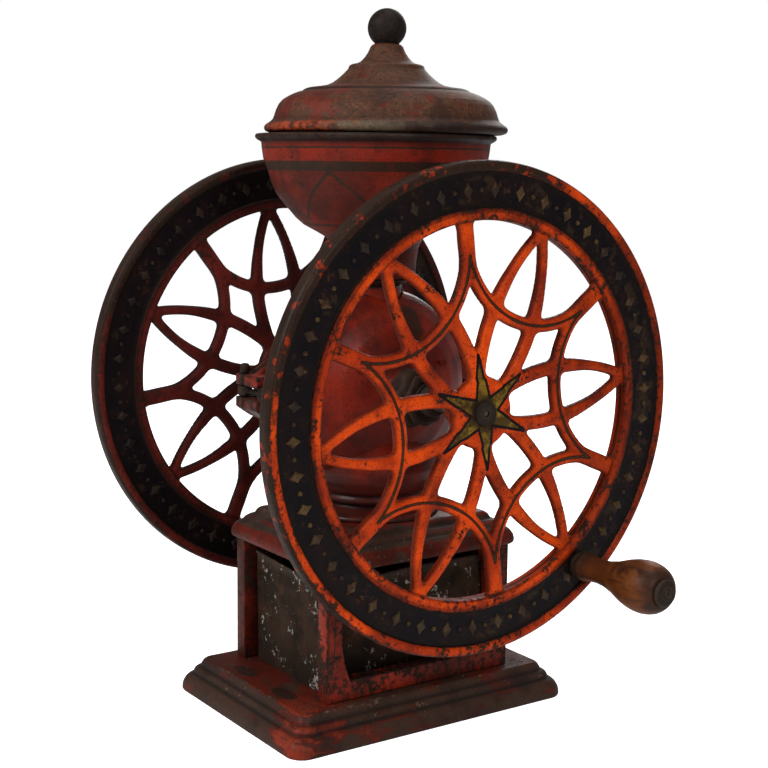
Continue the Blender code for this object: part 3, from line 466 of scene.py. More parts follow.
def wood_look():
    """Turned hardwood with a worn varnish, darker at the ends, with a painted highlight along its bulge.
    """
    look = Look("grip_wood")
    x = look.axes()[0]
    grain = look.noise(95, 5, 0.7, stretch=(0.10, 1, 1), warp=0.6)
    ring = look.noise(26, 3, 0.5, stretch=(0.18, 1, 1), shift=4.0)
    look.colour = look.mix(look.step(ring, 0.35, 0.65), (0.12, 0.033, 0.007), (0.06, 0.016, 0.004))
    look.paint(look.step(grain, 0.46, 0.66), (0.016, 0.006, 0.003), 0.75)
    ends = look.larger(look.step(x, 0.905, 0.835), look.step(x, 1.235, 1.285))
    look.paint(ends, (0.014, 0.008, 0.006), 0.72)
    # painted highlight: lighter wood along the grip's bulge, where the light catches it
    painted_highlight = look.blotches(0.5, 0.62, 30, 3, shift=9.0) * look.within(x, 1.03, 1.22, 0.04)
    look.paint(painted_highlight, (0.2, 0.066, 0.014), 0.35)
    turning = look.noise(620, 2, 0.5, stretch=(1, 0.02, 0.02))
    look.emboss(look.weighted((grain, 0.6), (turning, 0.4)), 0.22)
    look.emboss(look.noise(38, 3), 0.5)
    return look.done(grain * 0.25 + 0.34, coat=0.02)


def floor_look():
    """A pale studio floor that looks lit from within, as white paper does under strong light."""
    look = Look("studio_floor")
    look.colour = look.mottle((0.84, 0.84, 0.84), (0.86, 0.86, 0.86), 3, 2)
    look.feed(look.shader.inputs["Emission Color"], (1.0, 1.0, 1.0))
    seen = look.output("ShaderNodeLightPath", "Is Camera Ray")
    look.feed(look.shader.inputs["Emission Strength"], seen * 0.8)
    return look.done(0.9)


# ---------------------------------------------------------------- mesh tools

def mesh_in_metres(bm, name):
    """A mesh from a bmesh in wheel radii, which it frees."""
    bmesh.ops.recalc_face_normals(bm, faces=bm.faces)
    for vert in bm.verts:
        vert.co *= WHEEL_RADIUS
    mesh = bpy.data.meshes.new(name)
    bm.to_mesh(mesh)
    bm.free()
    return mesh


def store(mesh, key, values):
    """Keeps one number for each point of a mesh, for the materials to read."""
    layer = mesh.attributes.new(key, "FLOAT", "POINT")
    layer.data.foreach_set("value", np.asarray(values, np.float32))


def bridge(bm, low, high):
    """Faces between two closed rows of points."""
    for i in range(len(low)):
        j = (i + 1) % len(low)
        bm.faces.new([low[i], low[j], high[j], high[i]])


def add_piece(bm, name, look, body, nodes=(), smooth=40):
    """Makes a visible piece from a bmesh in wheel radii and ties it to its body and nodes."""
    return add_mesh(mesh_in_metres(bm, name), name, look, body, nodes, smooth)


def add_mesh(mesh, name, look, body, nodes=(), smooth=40):
    """Moves a mesh in metres from the drum's split plane to its place and shows it."""
    mesh.transform(Matrix.Translation((DRUM_X, 0, 0)))
    mesh.materials.clear()
    mesh.materials.append(look)
    mesh.shade_smooth()
    if smooth:
        mesh.set_sharp_from_angle(angle=math.radians(smooth))
    piece = bpy.data.objects.new(name, mesh)
    bpy.context.scene.collection.objects.link(piece)
    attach(piece, body)
    if nodes:
        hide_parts(*nodes)
    return piece


def softened(points, closed, radius=0.004, spacing=0.020):
    """A path with rounded corners and extra points along its long stretches."""
    count = len(points)
    flat = [Vector(p) for p in points]
    path = []
    for i, point in enumerate(flat):
        if not closed and i in (0, count - 1):
            path.append(point)
            continue
        before, after = flat[i - 1], flat[(i + 1) % count]
        cut_a = min(radius, 0.45 * (before - point).length)
        cut_b = min(radius, 0.45 * (after - point).length)
        start = point + (before - point).normalized() * cut_a
        end = point + (after - point).normalized() * cut_b
        for t in (0.0, 0.33, 0.67, 1.0):
            path.append(start * (1 - t) ** 2 + point * (2 * t * (1 - t)) + end * t ** 2)
    dense = []
    last = len(path) if closed else len(path) - 1
    for i in range(last):
        a, b = path[i], path[(i + 1) % len(path)]
        pieces = max(1, int((b - a).length / spacing))
        dense += [a.lerp(b, k / pieces) for k in range(pieces)]
    if not closed:
        dense.append(path[-1])
    return np.array([tuple(p) for p in dense])


def edges_and_hollows(path, closed, reach=0.008):
    """How much each point of a path lies on an outer edge (wear) or in a hollow (grime)."""
    ahead = np.roll(path, -1, axis=0) - path
    behind = path - np.roll(path, 1, axis=0)
    turn = np.arctan2(behind[:, 0] * ahead[:, 1] - behind[:, 1] * ahead[:, 0],
                      (behind * ahead).sum(axis=1))
    if not closed:
        turn[0] = turn[-1] = 0.0
    after = np.roll(path, -1, axis=0)
    area = (path[:, 0] * after[:, 1] - path[:, 1] * after[:, 0]).sum()
    turn *= np.sign(area) or 1.0
    apart = np.linalg.norm(path[:, None, :] - path[None, :, :], axis=2)
    near = np.exp(-(apart / reach) ** 2)
    wear = np.clip(near @ np.clip(turn, 0, None) / 1.1, 0, 1)
    wide = np.exp(-(apart / (1.6 * reach)) ** 2)
    grime = np.clip(wide @ np.clip(-turn, 0, None) / 1.1, 0, 1)
    return wear, grime


def skin(rings, values, closed):
    """A bmesh over rings of equal length, with each ring's wear and grime on its points."""
    bm = bmesh.new()
    layers = [bm.verts.layers.float.new(key) for key in ("wear", "grime")]
    made = []
    for ring, amounts in zip(rings, values):
        row = []
        for point in ring:
            vert = bm.verts.new(point)
            for layer, amount in zip(layers, amounts):
                vert[layer] = amount
            row.append(vert)
        made.append(row)
    pairs = list(zip(made, made[1:])) + ([(made[-1], made[0])] if closed else [])
    for low, high in pairs:
        bridge(bm, low, high)
    if not closed:
        bm.faces.new(made[0])
        bm.faces.new(made[-1])
    bmesh.ops.remove_doubles(bm, verts=bm.verts, dist=1e-6)
    return bm


def ring_points(axis, centre, along, radius, steps):
    turn = np.arange(steps) * (2 * math.pi / steps)
    u, v = radius * np.cos(turn), radius * np.sin(turn)
    x, y, z = centre
    if axis == "X":
        return np.stack([np.full(steps, x + along), y + u, z + v], axis=1)
    if axis == "Y":
        return np.stack([x + u, np.full(steps, y + along), z + v], axis=1)
    return np.stack([x + u, y + v, np.full(steps, z + along)], axis=1)


def turned(name, profile, look, body, axis="X", centre=(0, 0, 0), steps=96, closed=False,
           soften=0.004, nodes=()):
    """A turned piece. profile lists (distance along the axis, radius)."""
    path = softened(profile, closed, soften)
    wear, grime = edges_and_hollows(path, closed)
    rings = [ring_points(axis, centre, along, max(radius, 1e-5), steps) for along, radius in path]
    bm = skin(rings, list(zip(wear, grime)), closed)
    return add_piece(bm, name, look, body, nodes)


def rounded_rectangle(half_x, half_y, corner, z, per_corner=9, per_side=12):
    points = []
    corners = ((1, 1), (-1, 1), (-1, -1), (1, -1))
    for i, (side_x, side_y) in enumerate(corners):
        for j in range(per_corner):
            turn = (i + j / (per_corner - 1)) * math.pi / 2
            points.append(Vector((side_x * (half_x - corner) + corner * math.cos(turn),
                                  side_y * (half_y - corner) + corner * math.sin(turn), z)))
        next_x, next_y = corners[(i + 1) % 4]
        turn = (i + 1) * math.pi / 2
        target = Vector((next_x * (half_x - corner) + corner * math.cos(turn),
                         next_y * (half_y - corner) + corner * math.sin(turn), z))
        start = points[-1]
        points += [start.lerp(target, k / per_side) for k in range(1, per_side)]
    return points


def moulded(name, half, corner, levels, look, node, corner_share):
    """A moulded plate. levels lists (inset, z) from its foot up."""
    path = softened([(-inset, z) for inset, z in levels], False, 0.004, 0.012)
    wear, grime = edges_and_hollows(path, False)
    rings = [rounded_rectangle(half[0] + out, half[1] + out, corner + corner_share * out, z)
             for out, z in path]
    add_piece(skin(rings, list(zip(wear, grime)), False), name, look, "frame", (node,))


def extrusion(outline, axis, low, high):
    """A bmesh prism over a flat outline of (first, second) points carried along X or Z."""
    bm = bmesh.new()
    ends = []
    for along in (low, high):
        ends.append([bm.verts.new((along, u, v) if axis == "X" else (u, v, along))
                     for u, v in outline])
    bm.faces.new(ends[0])
    bm.faces.new(ends[1])
    bridge(bm, *ends)
    bmesh.ops.recalc_face_normals(bm, faces=bm.faces)
    return bm


def bevelled(bm, width, segments=3):
    """Rounds a bmesh's hard edges, those that turn by more than 30 degrees."""
    hard = [edge for edge in bm.edges if edge.is_manifold
            and edge.calc_face_angle() > math.radians(30)]
    bmesh.ops.bevel(bm, geom=hard, offset=width, segments=segments, profile=0.5,
                    affect="EDGES", clamp_overlap=True)
    return bm


def temporary(bm, name):
    """A helper object in metres, for casting() to combine."""
    made = bpy.data.objects.new(name, mesh_in_metres(bm, name))
    bpy.context.scene.collection.objects.link(made)
    return made


def casting(name, solids, cutters, look, node):
    """One cast piece: the solids joined, the cutters taken out and every edge run soft."""
    voxel = 0.00125  # metres
    blank, *others = solids
    for operation, shapes in (("UNION", others), ("DIFFERENCE", cutters)):
        if shapes:
            group = bpy.data.collections.new(f"{name} {operation}")
            for shape in shapes:
                group.objects.link(shape)
            step = blank.modifiers.new(operation, "BOOLEAN")
            step.operation = operation
            step.solver = "EXACT"
            step.operand_type = "COLLECTION"
            step.collection = group
    step = blank.modifiers.new("Grain", "REMESH")
    step.mode = "VOXEL"
    step.voxel_size = voxel
    step = blank.modifiers.new("Soft", "SMOOTH")
    step.factor = 0.5
    step.iterations = 8
    bpy.context.view_layer.update()
    graph = bpy.context.evaluated_depsgraph_get()
    mesh = bpy.data.meshes.new_from_object(blank.evaluated_get(graph))
    for helper in [blank, *others, *cutters]:
        bpy.data.objects.remove(helper)
    mark_curvature(mesh, voxel)
    add_mesh(mesh, name, look, "frame", (node,), smooth=0)


def mark_curvature(mesh, size):
    """Stores wear on a mesh's outer edges and grime in its hollows, from how its surface bends."""
    count = len(mesh.vertices)
    place = np.zeros(count * 3)
    mesh.vertices.foreach_get("co", place)
    place = place.reshape(-1, 3)
    normal = np.zeros(count * 3)
    mesh.vertices.foreach_get("normal", normal)
    normal = normal.reshape(-1, 3)
    ends = np.zeros(len(mesh.edges) * 2, np.int64)
    mesh.edges.foreach_get("vertices", ends)
    a, b = ends.reshape(-1, 2).T
    across = place[b] - place[a]
    bend = ((normal[b] - normal[a]) * across).sum(axis=1) / np.maximum((across ** 2).sum(axis=1), 1e-12)
    degree = np.bincount(a, minlength=count) + np.bincount(b, minlength=count)
    value = np.bincount(a, bend, count) + np.bincount(b, bend, count)
    value /= np.maximum(degree, 1)
    for _ in range(2):
        total = np.bincount(a, value[b], count) + np.bincount(b, value[a], count)
        value = 0.5 * value + 0.5 * total / np.maximum(degree, 1)
    value *= size * 3.0
    for key, amount in (("wear", value - 0.10), ("grime", -value - 0.08)):
        store(mesh, key, np.clip(amount * 2.2, 0, 1))


def solid_of_turning(profile, axis="X", centre=(0, 0, 0), steps=96):
    """A closed bmesh turned from a profile whose ends lie on the axis."""
    rings = [ring_points(axis, centre, along, max(radius, 1e-5), steps) for along, radius in profile]
    return skin(rings, [(0, 0)] * len(rings), False)


# ---------------------------------------------------------------- wheels

def smooth_least(values):
    """The least of some arrays, rounded off where two are nearly equal."""
    result = values[0]
    for value in values[1:]:
        share = np.clip(0.5 + 0.5 * (value - result) / CORNER_BLEND, 0, 1)
        result = value + (result - value) * share - CORNER_BLEND * share * (1 - share)
    return result


def stroke(u, v, centre, radius, half):
    return np.abs(np.hypot(u - centre[0], v - centre[1]) - radius) - half


def petal_half(u):
    share = np.clip((u - 0.43) / 0.19, 0, 1)
    return PETAL_HALF[0] + (PETAL_HALF[1] - PETAL_HALF[0]) * share ** 2 * (3 - 2 * share)


def folded(y, z):
    """A point's distance out and its angle from the nearest petal's axis, from 0 to 30 degrees."""
    turn = np.arctan2(z, y)
    return np.hypot(y, z), np.abs((turn + math.pi / 6) % (math.pi / 3) - math.pi / 6)


def web_field(y, z):
    """Distance from a point of the wheel's plane to the nearest casting; below 0 inside it."""
    reach, turn = folded(y, z)
    u, v = reach * np.cos(turn), reach * np.sin(turn)
    twin_u, twin_v = reach * np.cos(math.pi / 3 - turn), reach * np.sin(math.pi / 3 - turn)
    low = PETAL_ARC_CENTRE
    high = (low[0], -low[1])
    return smooth_least([
        RIM_INNER - reach,
        reach - HUB_R,
        stroke(u, v, (SCALLOP_CENTRE, 0), SCALLOP_R, SCALLOP_HALF),
        stroke(twin_u, twin_v, (SCALLOP_CENTRE, 0), SCALLOP_R, SCALLOP_HALF),
        stroke(u, v, low, PETAL_ARC_R, petal_half(u)),
        stroke(u, v, high, PETAL_ARC_R, petal_half(u)),
        stroke(twin_u, twin_v, low, PETAL_ARC_R, petal_half(twin_u)),
    ])


def star_field(y, z):
    """Distance to the outline of the six-pointed star between the petals; below 0 inside."""
    reach, turn = folded(y, z)
    turn = math.pi / 6 - turn
    u, v = reach * np.cos(turn), reach * np.sin(turn)
    tip, notch = np.array((0.236, 0.0)), 0.064
    root = np.array((notch * math.cos(math.pi / 6), notch * math.sin(math.pi / 6)))
    along = root - tip
    share = np.clip(((u - tip[0]) * along[0] + (v - tip[1]) * along[1]) / (along ** 2).sum(), 0, 1)
    gap = np.hypot(u - tip[0] - share * along[0], v - tip[1] - share * along[1])
    side = (u - tip[0]) * along[1] - (v - tip[1]) * along[0]
    return np.where(side > 0, gap, -gap)


def web_pattern(spacing=0.0062, outer=0.786):
    """The wheel's openwork as flat cells: points, their depth in the casting, cells and rim."""
    count = int(outer / spacing) + 2
    line = np.arange(-count, count + 1) * spacing + spacing * 0.37
    y, z = np.meshgrid(line, line, indexing="ij")
    field = np.maximum(web_field(y, z), np.hypot(y, z) - outer)
    points, depth, index = [], [], {}

    def corner(i, j):
        key = (i, j)
        if key not in index:
            index[key] = len(points)
            points.append((y[i, j], z[i, j]))
            depth.append(-field[i, j])
        return index[key]

    def crossing(a, b):
        key = (min(a, b), max(a, b))
        if key not in index:
            index[key] = len(points)
            share = field[a] / (field[a] - field[b])
            points.append((y[a] + share * (y[b] - y[a]), z[a] + share * (z[b] - z[a])))
            depth.append(0.0)
        return index[key]

    cells, walls = [], []
    for i in range(len(line) - 1):
        for j in range(len(line) - 1):
            around = ((i, j), (i + 1, j), (i + 1, j + 1), (i, j + 1))
            inside = [field[c] < 0 for c in around]
            if not any(inside):
                continue
            cell, cut = [], []
            for k in range(4):
                here, there = around[k], around[(k + 1) % 4]
                if inside[k]:
                    cell.append(corner(*here))
                if inside[k] != inside[(k + 1) % 4]:
                    cut.append((crossing(here, there), inside[k]))
                    cell.append(cut[-1][0])
            cells.append(cell)
            for k, (point, leaving) in enumerate(cut):
                if leaving:
                    walls.append((point, cut[(k + 1) % len(cut)][0]))
    return np.array(points), np.array(depth), cells, walls


def web_piece(name, side, look, pattern, node):
    """Openwork and hub face of one wheel, with rounded ribs and the painted lines' distances."""
    flat, depth, cells, walls = pattern
    reach = np.hypot(flat[:, 0], flat[:, 1])
    share = np.clip(depth / 0.024, 0, 1)
    height = 0.007 + 0.015 * np.sqrt(1 - (1 - share) ** 2)
    hub_share = np.clip((0.147 - reach) / 0.013, 0, 1)
    height = height + 0.0085 * hub_share ** 2 * (3 - 2 * hub_share)
    turn = WHEEL_TURN[side]
    y = flat[:, 0] * math.cos(turn) - flat[:, 1] * math.sin(turn)
    z = flat[:, 0] * math.sin(turn) + flat[:, 1] * math.cos(turn) + AXLE_Z
    rows = [np.stack([side * WHEEL_X + way * height, y, z], axis=1) for way in (1, -1)]
    points = np.concatenate(rows) * WHEEL_RADIUS
    back = len(flat)
    faces = list(cells) + [[back + i for i in reversed(cell)] for cell in cells]
    faces += [[a, back + a, back + b, b] for a, b in walls]
    mesh = bpy.data.meshes.new(name)
    mesh.from_pydata(points.tolist(), [], faces)
    folded_reach, folded_turn = folded(flat[:, 0], flat[:, 1])
    u, v = folded_reach * np.cos(folded_turn), folded_reach * np.sin(folded_turn)
    stripe = np.abs(np.hypot(u - SCALLOP_CENTRE, v) - SCALLOP_R)
    stripe = np.maximum(stripe, reach - 0.632)
    star = np.clip(star_field(flat[:, 0], flat[:, 1]), -0.05, 0.05)
    wear = np.clip((depth - 0.016) / 0.012, 0, 1) * 0.35
    grime = np.clip(1 - depth / 0.009, 0, 1) * 0.85
    for key, value in (("stripe", stripe), ("star", star), ("wear", wear), ("grime", grime)):
        store(mesh, key, np.concatenate([value, value]))
    return add_mesh(mesh, name, look, "rotor", (node,), smooth=0)


def rim_piece(name, side, look):
    """The rim: a raised inner ring, a sunk channel and a rounded bead on both faces."""
    half = [(0.028, 0.766), (0.0325, 0.774), (0.0325, 0.808), (0.030, 0.8125), (0.0215, 0.815),
            (0.0215, 0.952), (0.030, 0.956), (0.0375, 0.964), (0.039, 0.975), (0.0375, 0.986),
            (0.031, 0.9955), (0.018, 1.0)]
    profile = half + [(-along, radius) for along, radius in reversed(half)]
    piece = turned(name, profile, look, "rotor", centre=(side * WHEEL_X, 0, AXLE_Z), steps=240,
                   closed=True, soften=0.003)
    # unset stripe and star distances would read as 0, so they are set far off
    for key in ("stripe", "star"):
        store(piece.data, key, np.ones(len(piece.data.vertices)))
    return piece


def ornament_piece(name, side, look):
    """Raised lozenges and beads round the channel on both faces: a plain border pattern."""
    bm = bmesh.new()
    floor, count, middle = 0.0205, 42, 0.884
    steps = ((0.0, 1.0), (0.006, 0.90), (0.0095, 0.62), (0.0105, 0.25))
    for face in (1, -1):
        for k in range(count * 2):
            turn = math.pi * (k + 0.5) / count
            out = Vector((0, math.cos(turn), math.sin(turn)))
            along = Vector((0, -math.sin(turn), math.cos(turn)))
            if k % 2:
                outline = [(0.010 * math.cos(a), 0.010 * math.sin(a))
                           for a in (math.pi * i / 6 for i in range(12))]
            else:
                outline = [(0.036, 0), (0.013, 0.013), (0, 0.024), (-0.013, 0.013), (-0.036, 0),
                           (-0.013, -0.013), (0, -0.024), (0.013, -0.013)]
            rows = []
            for lift, share in steps:
                centre = Vector((side * WHEEL_X + face * (floor + lift), 0, AXLE_Z)) + middle * out
                rows.append([bm.verts.new(centre + share * (a * out + b * along))
                             for a, b in outline])
            for low, high in zip(rows, rows[1:]):
                bridge(bm, low, high)
            bm.faces.new(rows[-1])
            bm.faces.new(rows[0])
    return add_piece(bm, name, look, "rotor", smooth=50)


def wheels():
    pattern = web_pattern()
    orange = ((0.680, 0.062, 0.003), (0.340, 0.026, 0.003))
    maroon = ((0.130, 0.016, 0.011), (0.070, 0.010, 0.008))
    gilding = {1: enamel("worn_gilding", (0.085, 0.050, 0.017), (0.016, 0.011, 0.008), chips=0.57,
                         edge=0.06, rust=0.30),
               -1: enamel("dirty_gilding", (0.026, 0.016, 0.009), (0.008, 0.006, 0.005), chips=0.57,
                          edge=0.06, rust=0.20)}
    for side, where, tones, bare_from in ((1, "front", orange, 0.56), (-1, "rear", maroon, 0.80)):
        look = wheel_look(f"{where}_wheel_enamel", side, *tones, bare_from)
        web_piece(f"{where}_wheel_openwork", side, look, pattern, f"{where}_wheel")
        rim_piece(f"{where}_wheel_rim", side, look)
        ornament_piece(f"{where}_wheel_border", side, gilding[side])
        hub = [(0.0, 0.136), (0.026, 0.128), (0.034, 0.100), (0.050, 0.089), (0.128, 0.080),
               (0.141, 0.072), (0.141, AXLE_R + 0.001), (0.0, AXLE_R + 0.001)]
        # painted shade: the bosses behind the wheels get the wheel's two tones at about a third of their
        # brightness
        shaded_tones = [tuple(0.35 * part for part in tone) for tone in tones]
        hub_look = enamel(f"{where}_hub_enamel", *shaded_tones, chips=0.60, edge=0.2, rust=0.4)
        turned(f"{where}_wheel_hub", [(-side * along, radius) for along, radius in hub], hub_look,
               "rotor", centre=(side * WHEEL_X, 0, AXLE_Z), closed=True)
        nut = [(0.0290, AXLE_R + 0.001), (0.0290, 0.050), (0.0445, 0.050), (0.0465, 0.047),
               (0.0465, 0.013), (0.0434, 0.012), (0.0428, AXLE_R + 0.001)]
        turned(f"{where}_wheel_end_nut", [(side * along, radius) for along, radius in nut],
               LOOKS["dark_iron"], "rotor", centre=(side * WHEEL_X, 0, AXLE_Z), closed=True,
               soften=0.0015, nodes=(f"{where}_wheel_nut",))


# ---------------------------------------------------------------- base, frame and drawer

def base_and_top():
    base = [(0.004, 0.0), (0.0, 0.006), (0.0, 0.020), (0.004, 0.040), (0.014, 0.060), (0.028, 0.074),
            (0.040, 0.080), (0.044, 0.082), (0.044, 0.092), (0.050, 0.104), (0.062, 0.113),
            (0.070, 0.115), (0.074, 0.128), (0.082, 0.142), (0.092, 0.150), (0.098, 0.1502)]
    moulded("base_casting", (0.528, 0.715), 0.075, base, base_look(), "base_plate",
            0.45)
    top = [(0.030, 0.7105), (0.012, 0.711), (0.002, 0.720), (0.0, 0.735), (0.004, 0.755),
           (0.016, 0.775), (0.034, 0.790), (0.040, 0.792), (0.050, 0.806), (0.066, 0.818),
           (0.078, 0.822), (0.084, 0.826), (0.092, 0.842), (0.104, 0.852), (0.112, 0.8548)]
    moulded("top_casting", (0.410, 0.510), 0.040, top, top_look(), "top_plate",
            0.25)


def post_edge(share):
    """(y, z) down a post's curved inner edge: wide at head and foot, narrow at the waist."""
    flare = abs(2 * share - 1) ** 2.5
    return 0.479 - (0.078 + 0.042 * flare), FRAME_TOP + (0.235 - FRAME_TOP) * share


def frame_look():
    """Enamel of the side frames, bright by the crank, with painted shade and dirt on the far one."""
    look = Look("frame_enamel")
    x = look.axes()[0]
    drift = look.blotches(0.38, 0.62, 17, 4, 0.6, shift=1.0)
    look.colour = look.mix(drift, (0.29, 0.022, 0.007), (0.135, 0.013, 0.006))
    # painted shade and dirt: the far frame, by the rear wheel, is painted near black
    far = look.step(x + look.jitter(0.05, 40, 4), -0.29, -0.33)
    look.paint(far, (0.022, 0.006, 0.004), 0.8)
    return age(look, chips=0.6, edge=0.14, rust=0.3, gloss=0.46)


def side_frames():
    look = frame_look()
    stripe = enamel("frame_stripe", (0.036, 0.028, 0.014), (0.018, 0.014, 0.008), chips=0.60)
    inner = [post_edge(i / 24) for i in range(25)]
    low, high, outer = BASE_TOP + 0.0008, FRAME_TOP - 0.0008, 0.479
    # the back posts are a little broader than the front ones
    broad = [(y - 0.018, z) for y, z in inner]
    outline = [(-outer, low), (outer, low), (outer, high), (broad[0][0], high)] + broad[1:]
    outline += [(-y, z) for y, z in reversed(inner[1:])] + [(-inner[0][0], high), (-outer, high)]
    for side, name in ((1, "crank"), (-1, "rear_wheel")):
        near, far = sorted((side * 0.314, side * 0.384))
        bm = bevelled(extrusion(outline, "X", near, far), 0.005)
        piece = add_piece(bm, f"frame_casting_{name}", look, "frame", (f"side_frame_{name}",))
        mark_edges(piece.data)
        for end, place in ((-1, "front"), (1, "back")):
            for k, (inset, bulge) in enumerate(((0.010, 0.0), (0.020, 0.022))):
                line = []
                for i in range(1, 24):
                    bend = bulge * math.sin(math.pi * i / 24)
                    line.append((outer - inset - bend, post_edge(i / 24)[1]))
                ribbon(f"frame_stripe_{name}_{place}_{k}",
                       [(side * 0.3843, end * y, z) for y, z in line], (0, 1, 0), 0.0030, stripe,
                       "frame")


def ribbon(name, line, across, half, look, body):
    """A thin painted line laid along points, half to each side."""
    bm = bmesh.new()
    offset = Vector(across) * half
    rows = [[bm.verts.new(Vector(p) - offset), bm.verts.new(Vector(p) + offset)] for p in line]
    for a, b in zip(rows, rows[1:]):
        bm.faces.new([a[0], a[1], b[1], b[0]])
    return add_piece(bm, name, look, body)


def mark_edges(mesh):
    """Stores wear near a mesh's bevelled edges: points whose faces differ in direction."""
    bm = bmesh.new()
    bm.from_mesh(mesh)
    values = []
    for vert in bm.verts:
        bend = max((edge.calc_face_angle(0) for edge in vert.link_edges), default=0)
        values.append(min(1.0, bend / 0.5))
    bm.free()
    store(mesh, "wear", values)


def drawer():
    """The tin drawer: thin folded sheet with a rolled rim, soldered corner seams and dents."""
    half_x, half_y = 0.292, 0.425
    floor, top, wall, roll = BASE_TOP + mm(0.5), 0.655, mm(1.0), mm(1.7)
    dip, lean, stretch = 0.037, 0.008, mm(4)  # of the front's top edge, the front and the back
    path = [(0, floor), (0, top - 2 * roll)]
    path += [(roll * math.sin(a), top - roll - roll * math.cos(a))
             for a in (math.pi * k / 6 for k in range(1, 6))]
    path += [(0, top), (-wall, top - roll), (-wall, floor + wall)]
    rings, values = [], []
    for out, z in path:
        rings.append(rounded_rectangle(half_x + out, half_y + out, mm(3) + max(out, -mm(2)), z, 5, 20))
        values.append((0.8 if abs(z - top) < 3 * roll else 0.1, 0.0))
    low, high = rings[0], rings[1]
    levels = 14
    for k in range(1, levels):
        row = [a.lerp(b, k / levels) for a, b in zip(low, high)]
        rings.insert(k, row)
        values.insert(k, (0.05, 0.0))
    for ring in rings[1:levels]:
        for point in ring:
            bulge = mm(0.9) * math.sin(7 * point.y + 3) * math.sin(9 * point.z + 1.5 * point.x)
            point.x += bulge * (1 if point.x > 0 else -1) * (abs(point.y) < 0.40)
            point.y += bulge * (1 if point.y > 0 else -1) * (abs(point.x) < 0.27)
    for ring in rings:
        for point in ring:
            share = (point.z - floor) / (top - floor) * max(0.0, -point.y / half_y)
            point.z -= dip * share * (point.x / half_x + 1) / 2
            point.x -= lean * share * (1 - point.x / half_x) / 2
            if point.y > 0.40:
                point.y += stretch
    add_piece(skin(rings, values, False), "drawer_sheet", LOOKS["tin"], "drawer", ("drawer_tin",))
    low, high = floor + 0.010, top - 0.060
    for i, (x, y) in enumerate(((-1, -1), (1, -1), (-1, 1), (1, 1))):
        bm = bmesh.new()
        place = Matrix.Translation((x * (half_x + 0.0012), y * (half_y - 0.022), (low + high) / 2))
        scale = Matrix.Diagonal((0.004, 0.018, high - low, 1))
        bmesh.ops.create_cube(bm, size=1, matrix=place @ scale)
        add_piece(bevelled(bm, 0.0014, 2), f"drawer_seam_{i + 1}", LOOKS["tin"], "drawer")


# ---------------------------------------------------------------- drum

DRUM_OUTSIDE = [(0.0, 0.445), (0.050, 0.443), (0.085, 0.432), (0.110, 0.410), (0.150, 0.360),
                (0.190, 0.290), (0.215, 0.210), (0.230, 0.140)]
DRUM_INSIDE = [(0.0, 0.415), (0.045, 0.413), (0.087, 0.389), (0.126, 0.341), (0.163, 0.277),
               (0.186, 0.200), (0.198, 0.140)]
PEDESTAL = [(TOP_Z + 0.0012, 0), (TOP_Z + 0.0012, 0.300), (0.870, 0.300), (0.880, 0.290),
            (0.888, 0.255), (0.895, 0.228), (0.912, 0.213), (0.921, 0.232), (0.928, 0.248),
            (0.940, 0.252), (0.952, 0.246), (0.962, 0.228), (0.985, 0.208), (1.010, 0.175),
            (1.045, 0.145), (1.080, 0.125), (1.110, 0.120), (1.110, 0)]
SHOULDER = [(0.955, 0), (0.955, 0.235), (0.975, 0.262), (1.020, 0.284), (1.062, 0.296),
            (1.100, 0.288), (1.140, 0.262), (1.190, 0.215), (1.230, 0.150), (1.230, 0)]
SEAT = [(1.560, 0), (1.560, 0.118), (1.860, 0.118), (1.876, 0.158), (1.882, 0.166), (1.8905, 0.166),
        (1.8905, 0.148), (1.950, 0.148), (1.950, 0)]


def half_drum(side):
    split = mm(0.35)
    profile = [(side * split, 0), (side * split, 0.445)]
    profile += [(side * x, r) for x, r in DRUM_OUTSIDE[1:]]
    profile += [(side * 0.238, 0.112), (side * 0.270, 0.104), (side * 0.274, 0)]
    return temporary(solid_of_turning(profile, centre=(0, 0, AXLE_Z), steps=128), "half_drum")


def drum_room():
    profile = [(-0.198, 0)] + [(-x, r) for x, r in DRUM_INSIDE[:0:-1]] + DRUM_INSIDE + [(0.198, 0)]
    return temporary(solid_of_turning(profile, centre=(0, 0, AXLE_Z), steps=92), "drum_room")


def upright(low, high, radius, centre=(0, 0, 0), steps=63):
    profile = [(low, 0), (low, radius), (high, radius), (high, 0)]
    return temporary(solid_of_turning(profile, "Z", centre, steps), "upright")


def latch_ears(low, high, rib_low, rib_high):
    upper = [(-0.660, SLOT_Z[1]), (-0.660, 1.508), (-0.400, 1.508), (-0.400, SLOT_Z[1])]
    lower = [(-0.660, 1.366), (-0.660, SLOT_Z[0]), (-0.400, SLOT_Z[0]), (-0.400, 1.235), (-0.600, 1.325)]
    root = [(-0.576, 1.390), (-0.576, 1.480), (-0.400, 1.480), (-0.400, 1.390)]
    rib = [(-0.605, 1.498), (-0.605, 1.512), (-0.548, 1.551), (-0.400, 1.625), (-0.400, 1.498)]
    shapes = [extrusion(outline, "X", low, high) for outline in (upper, lower, root)]
    shapes.append(extrusion(rib, "X", rib_low, rib_high))
    return [temporary(shape, "ear") for shape in shapes]


def knuckle(side, low, high):
    pin_x, pin_y = HINGE_PIN
    arc = [(pin_x + 0.040 * math.cos(math.radians(a)), pin_y + 0.040 * math.sin(math.radians(a)))
           for a in range(180, -91, -10)]
    points = [(-0.040, 0.400)] + arc + [(-0.002, 0.462), (-0.002, 0.400)]
    return temporary(extrusion([(-side * x, y) for x, y in points], "Z", low, high), "knuckle")


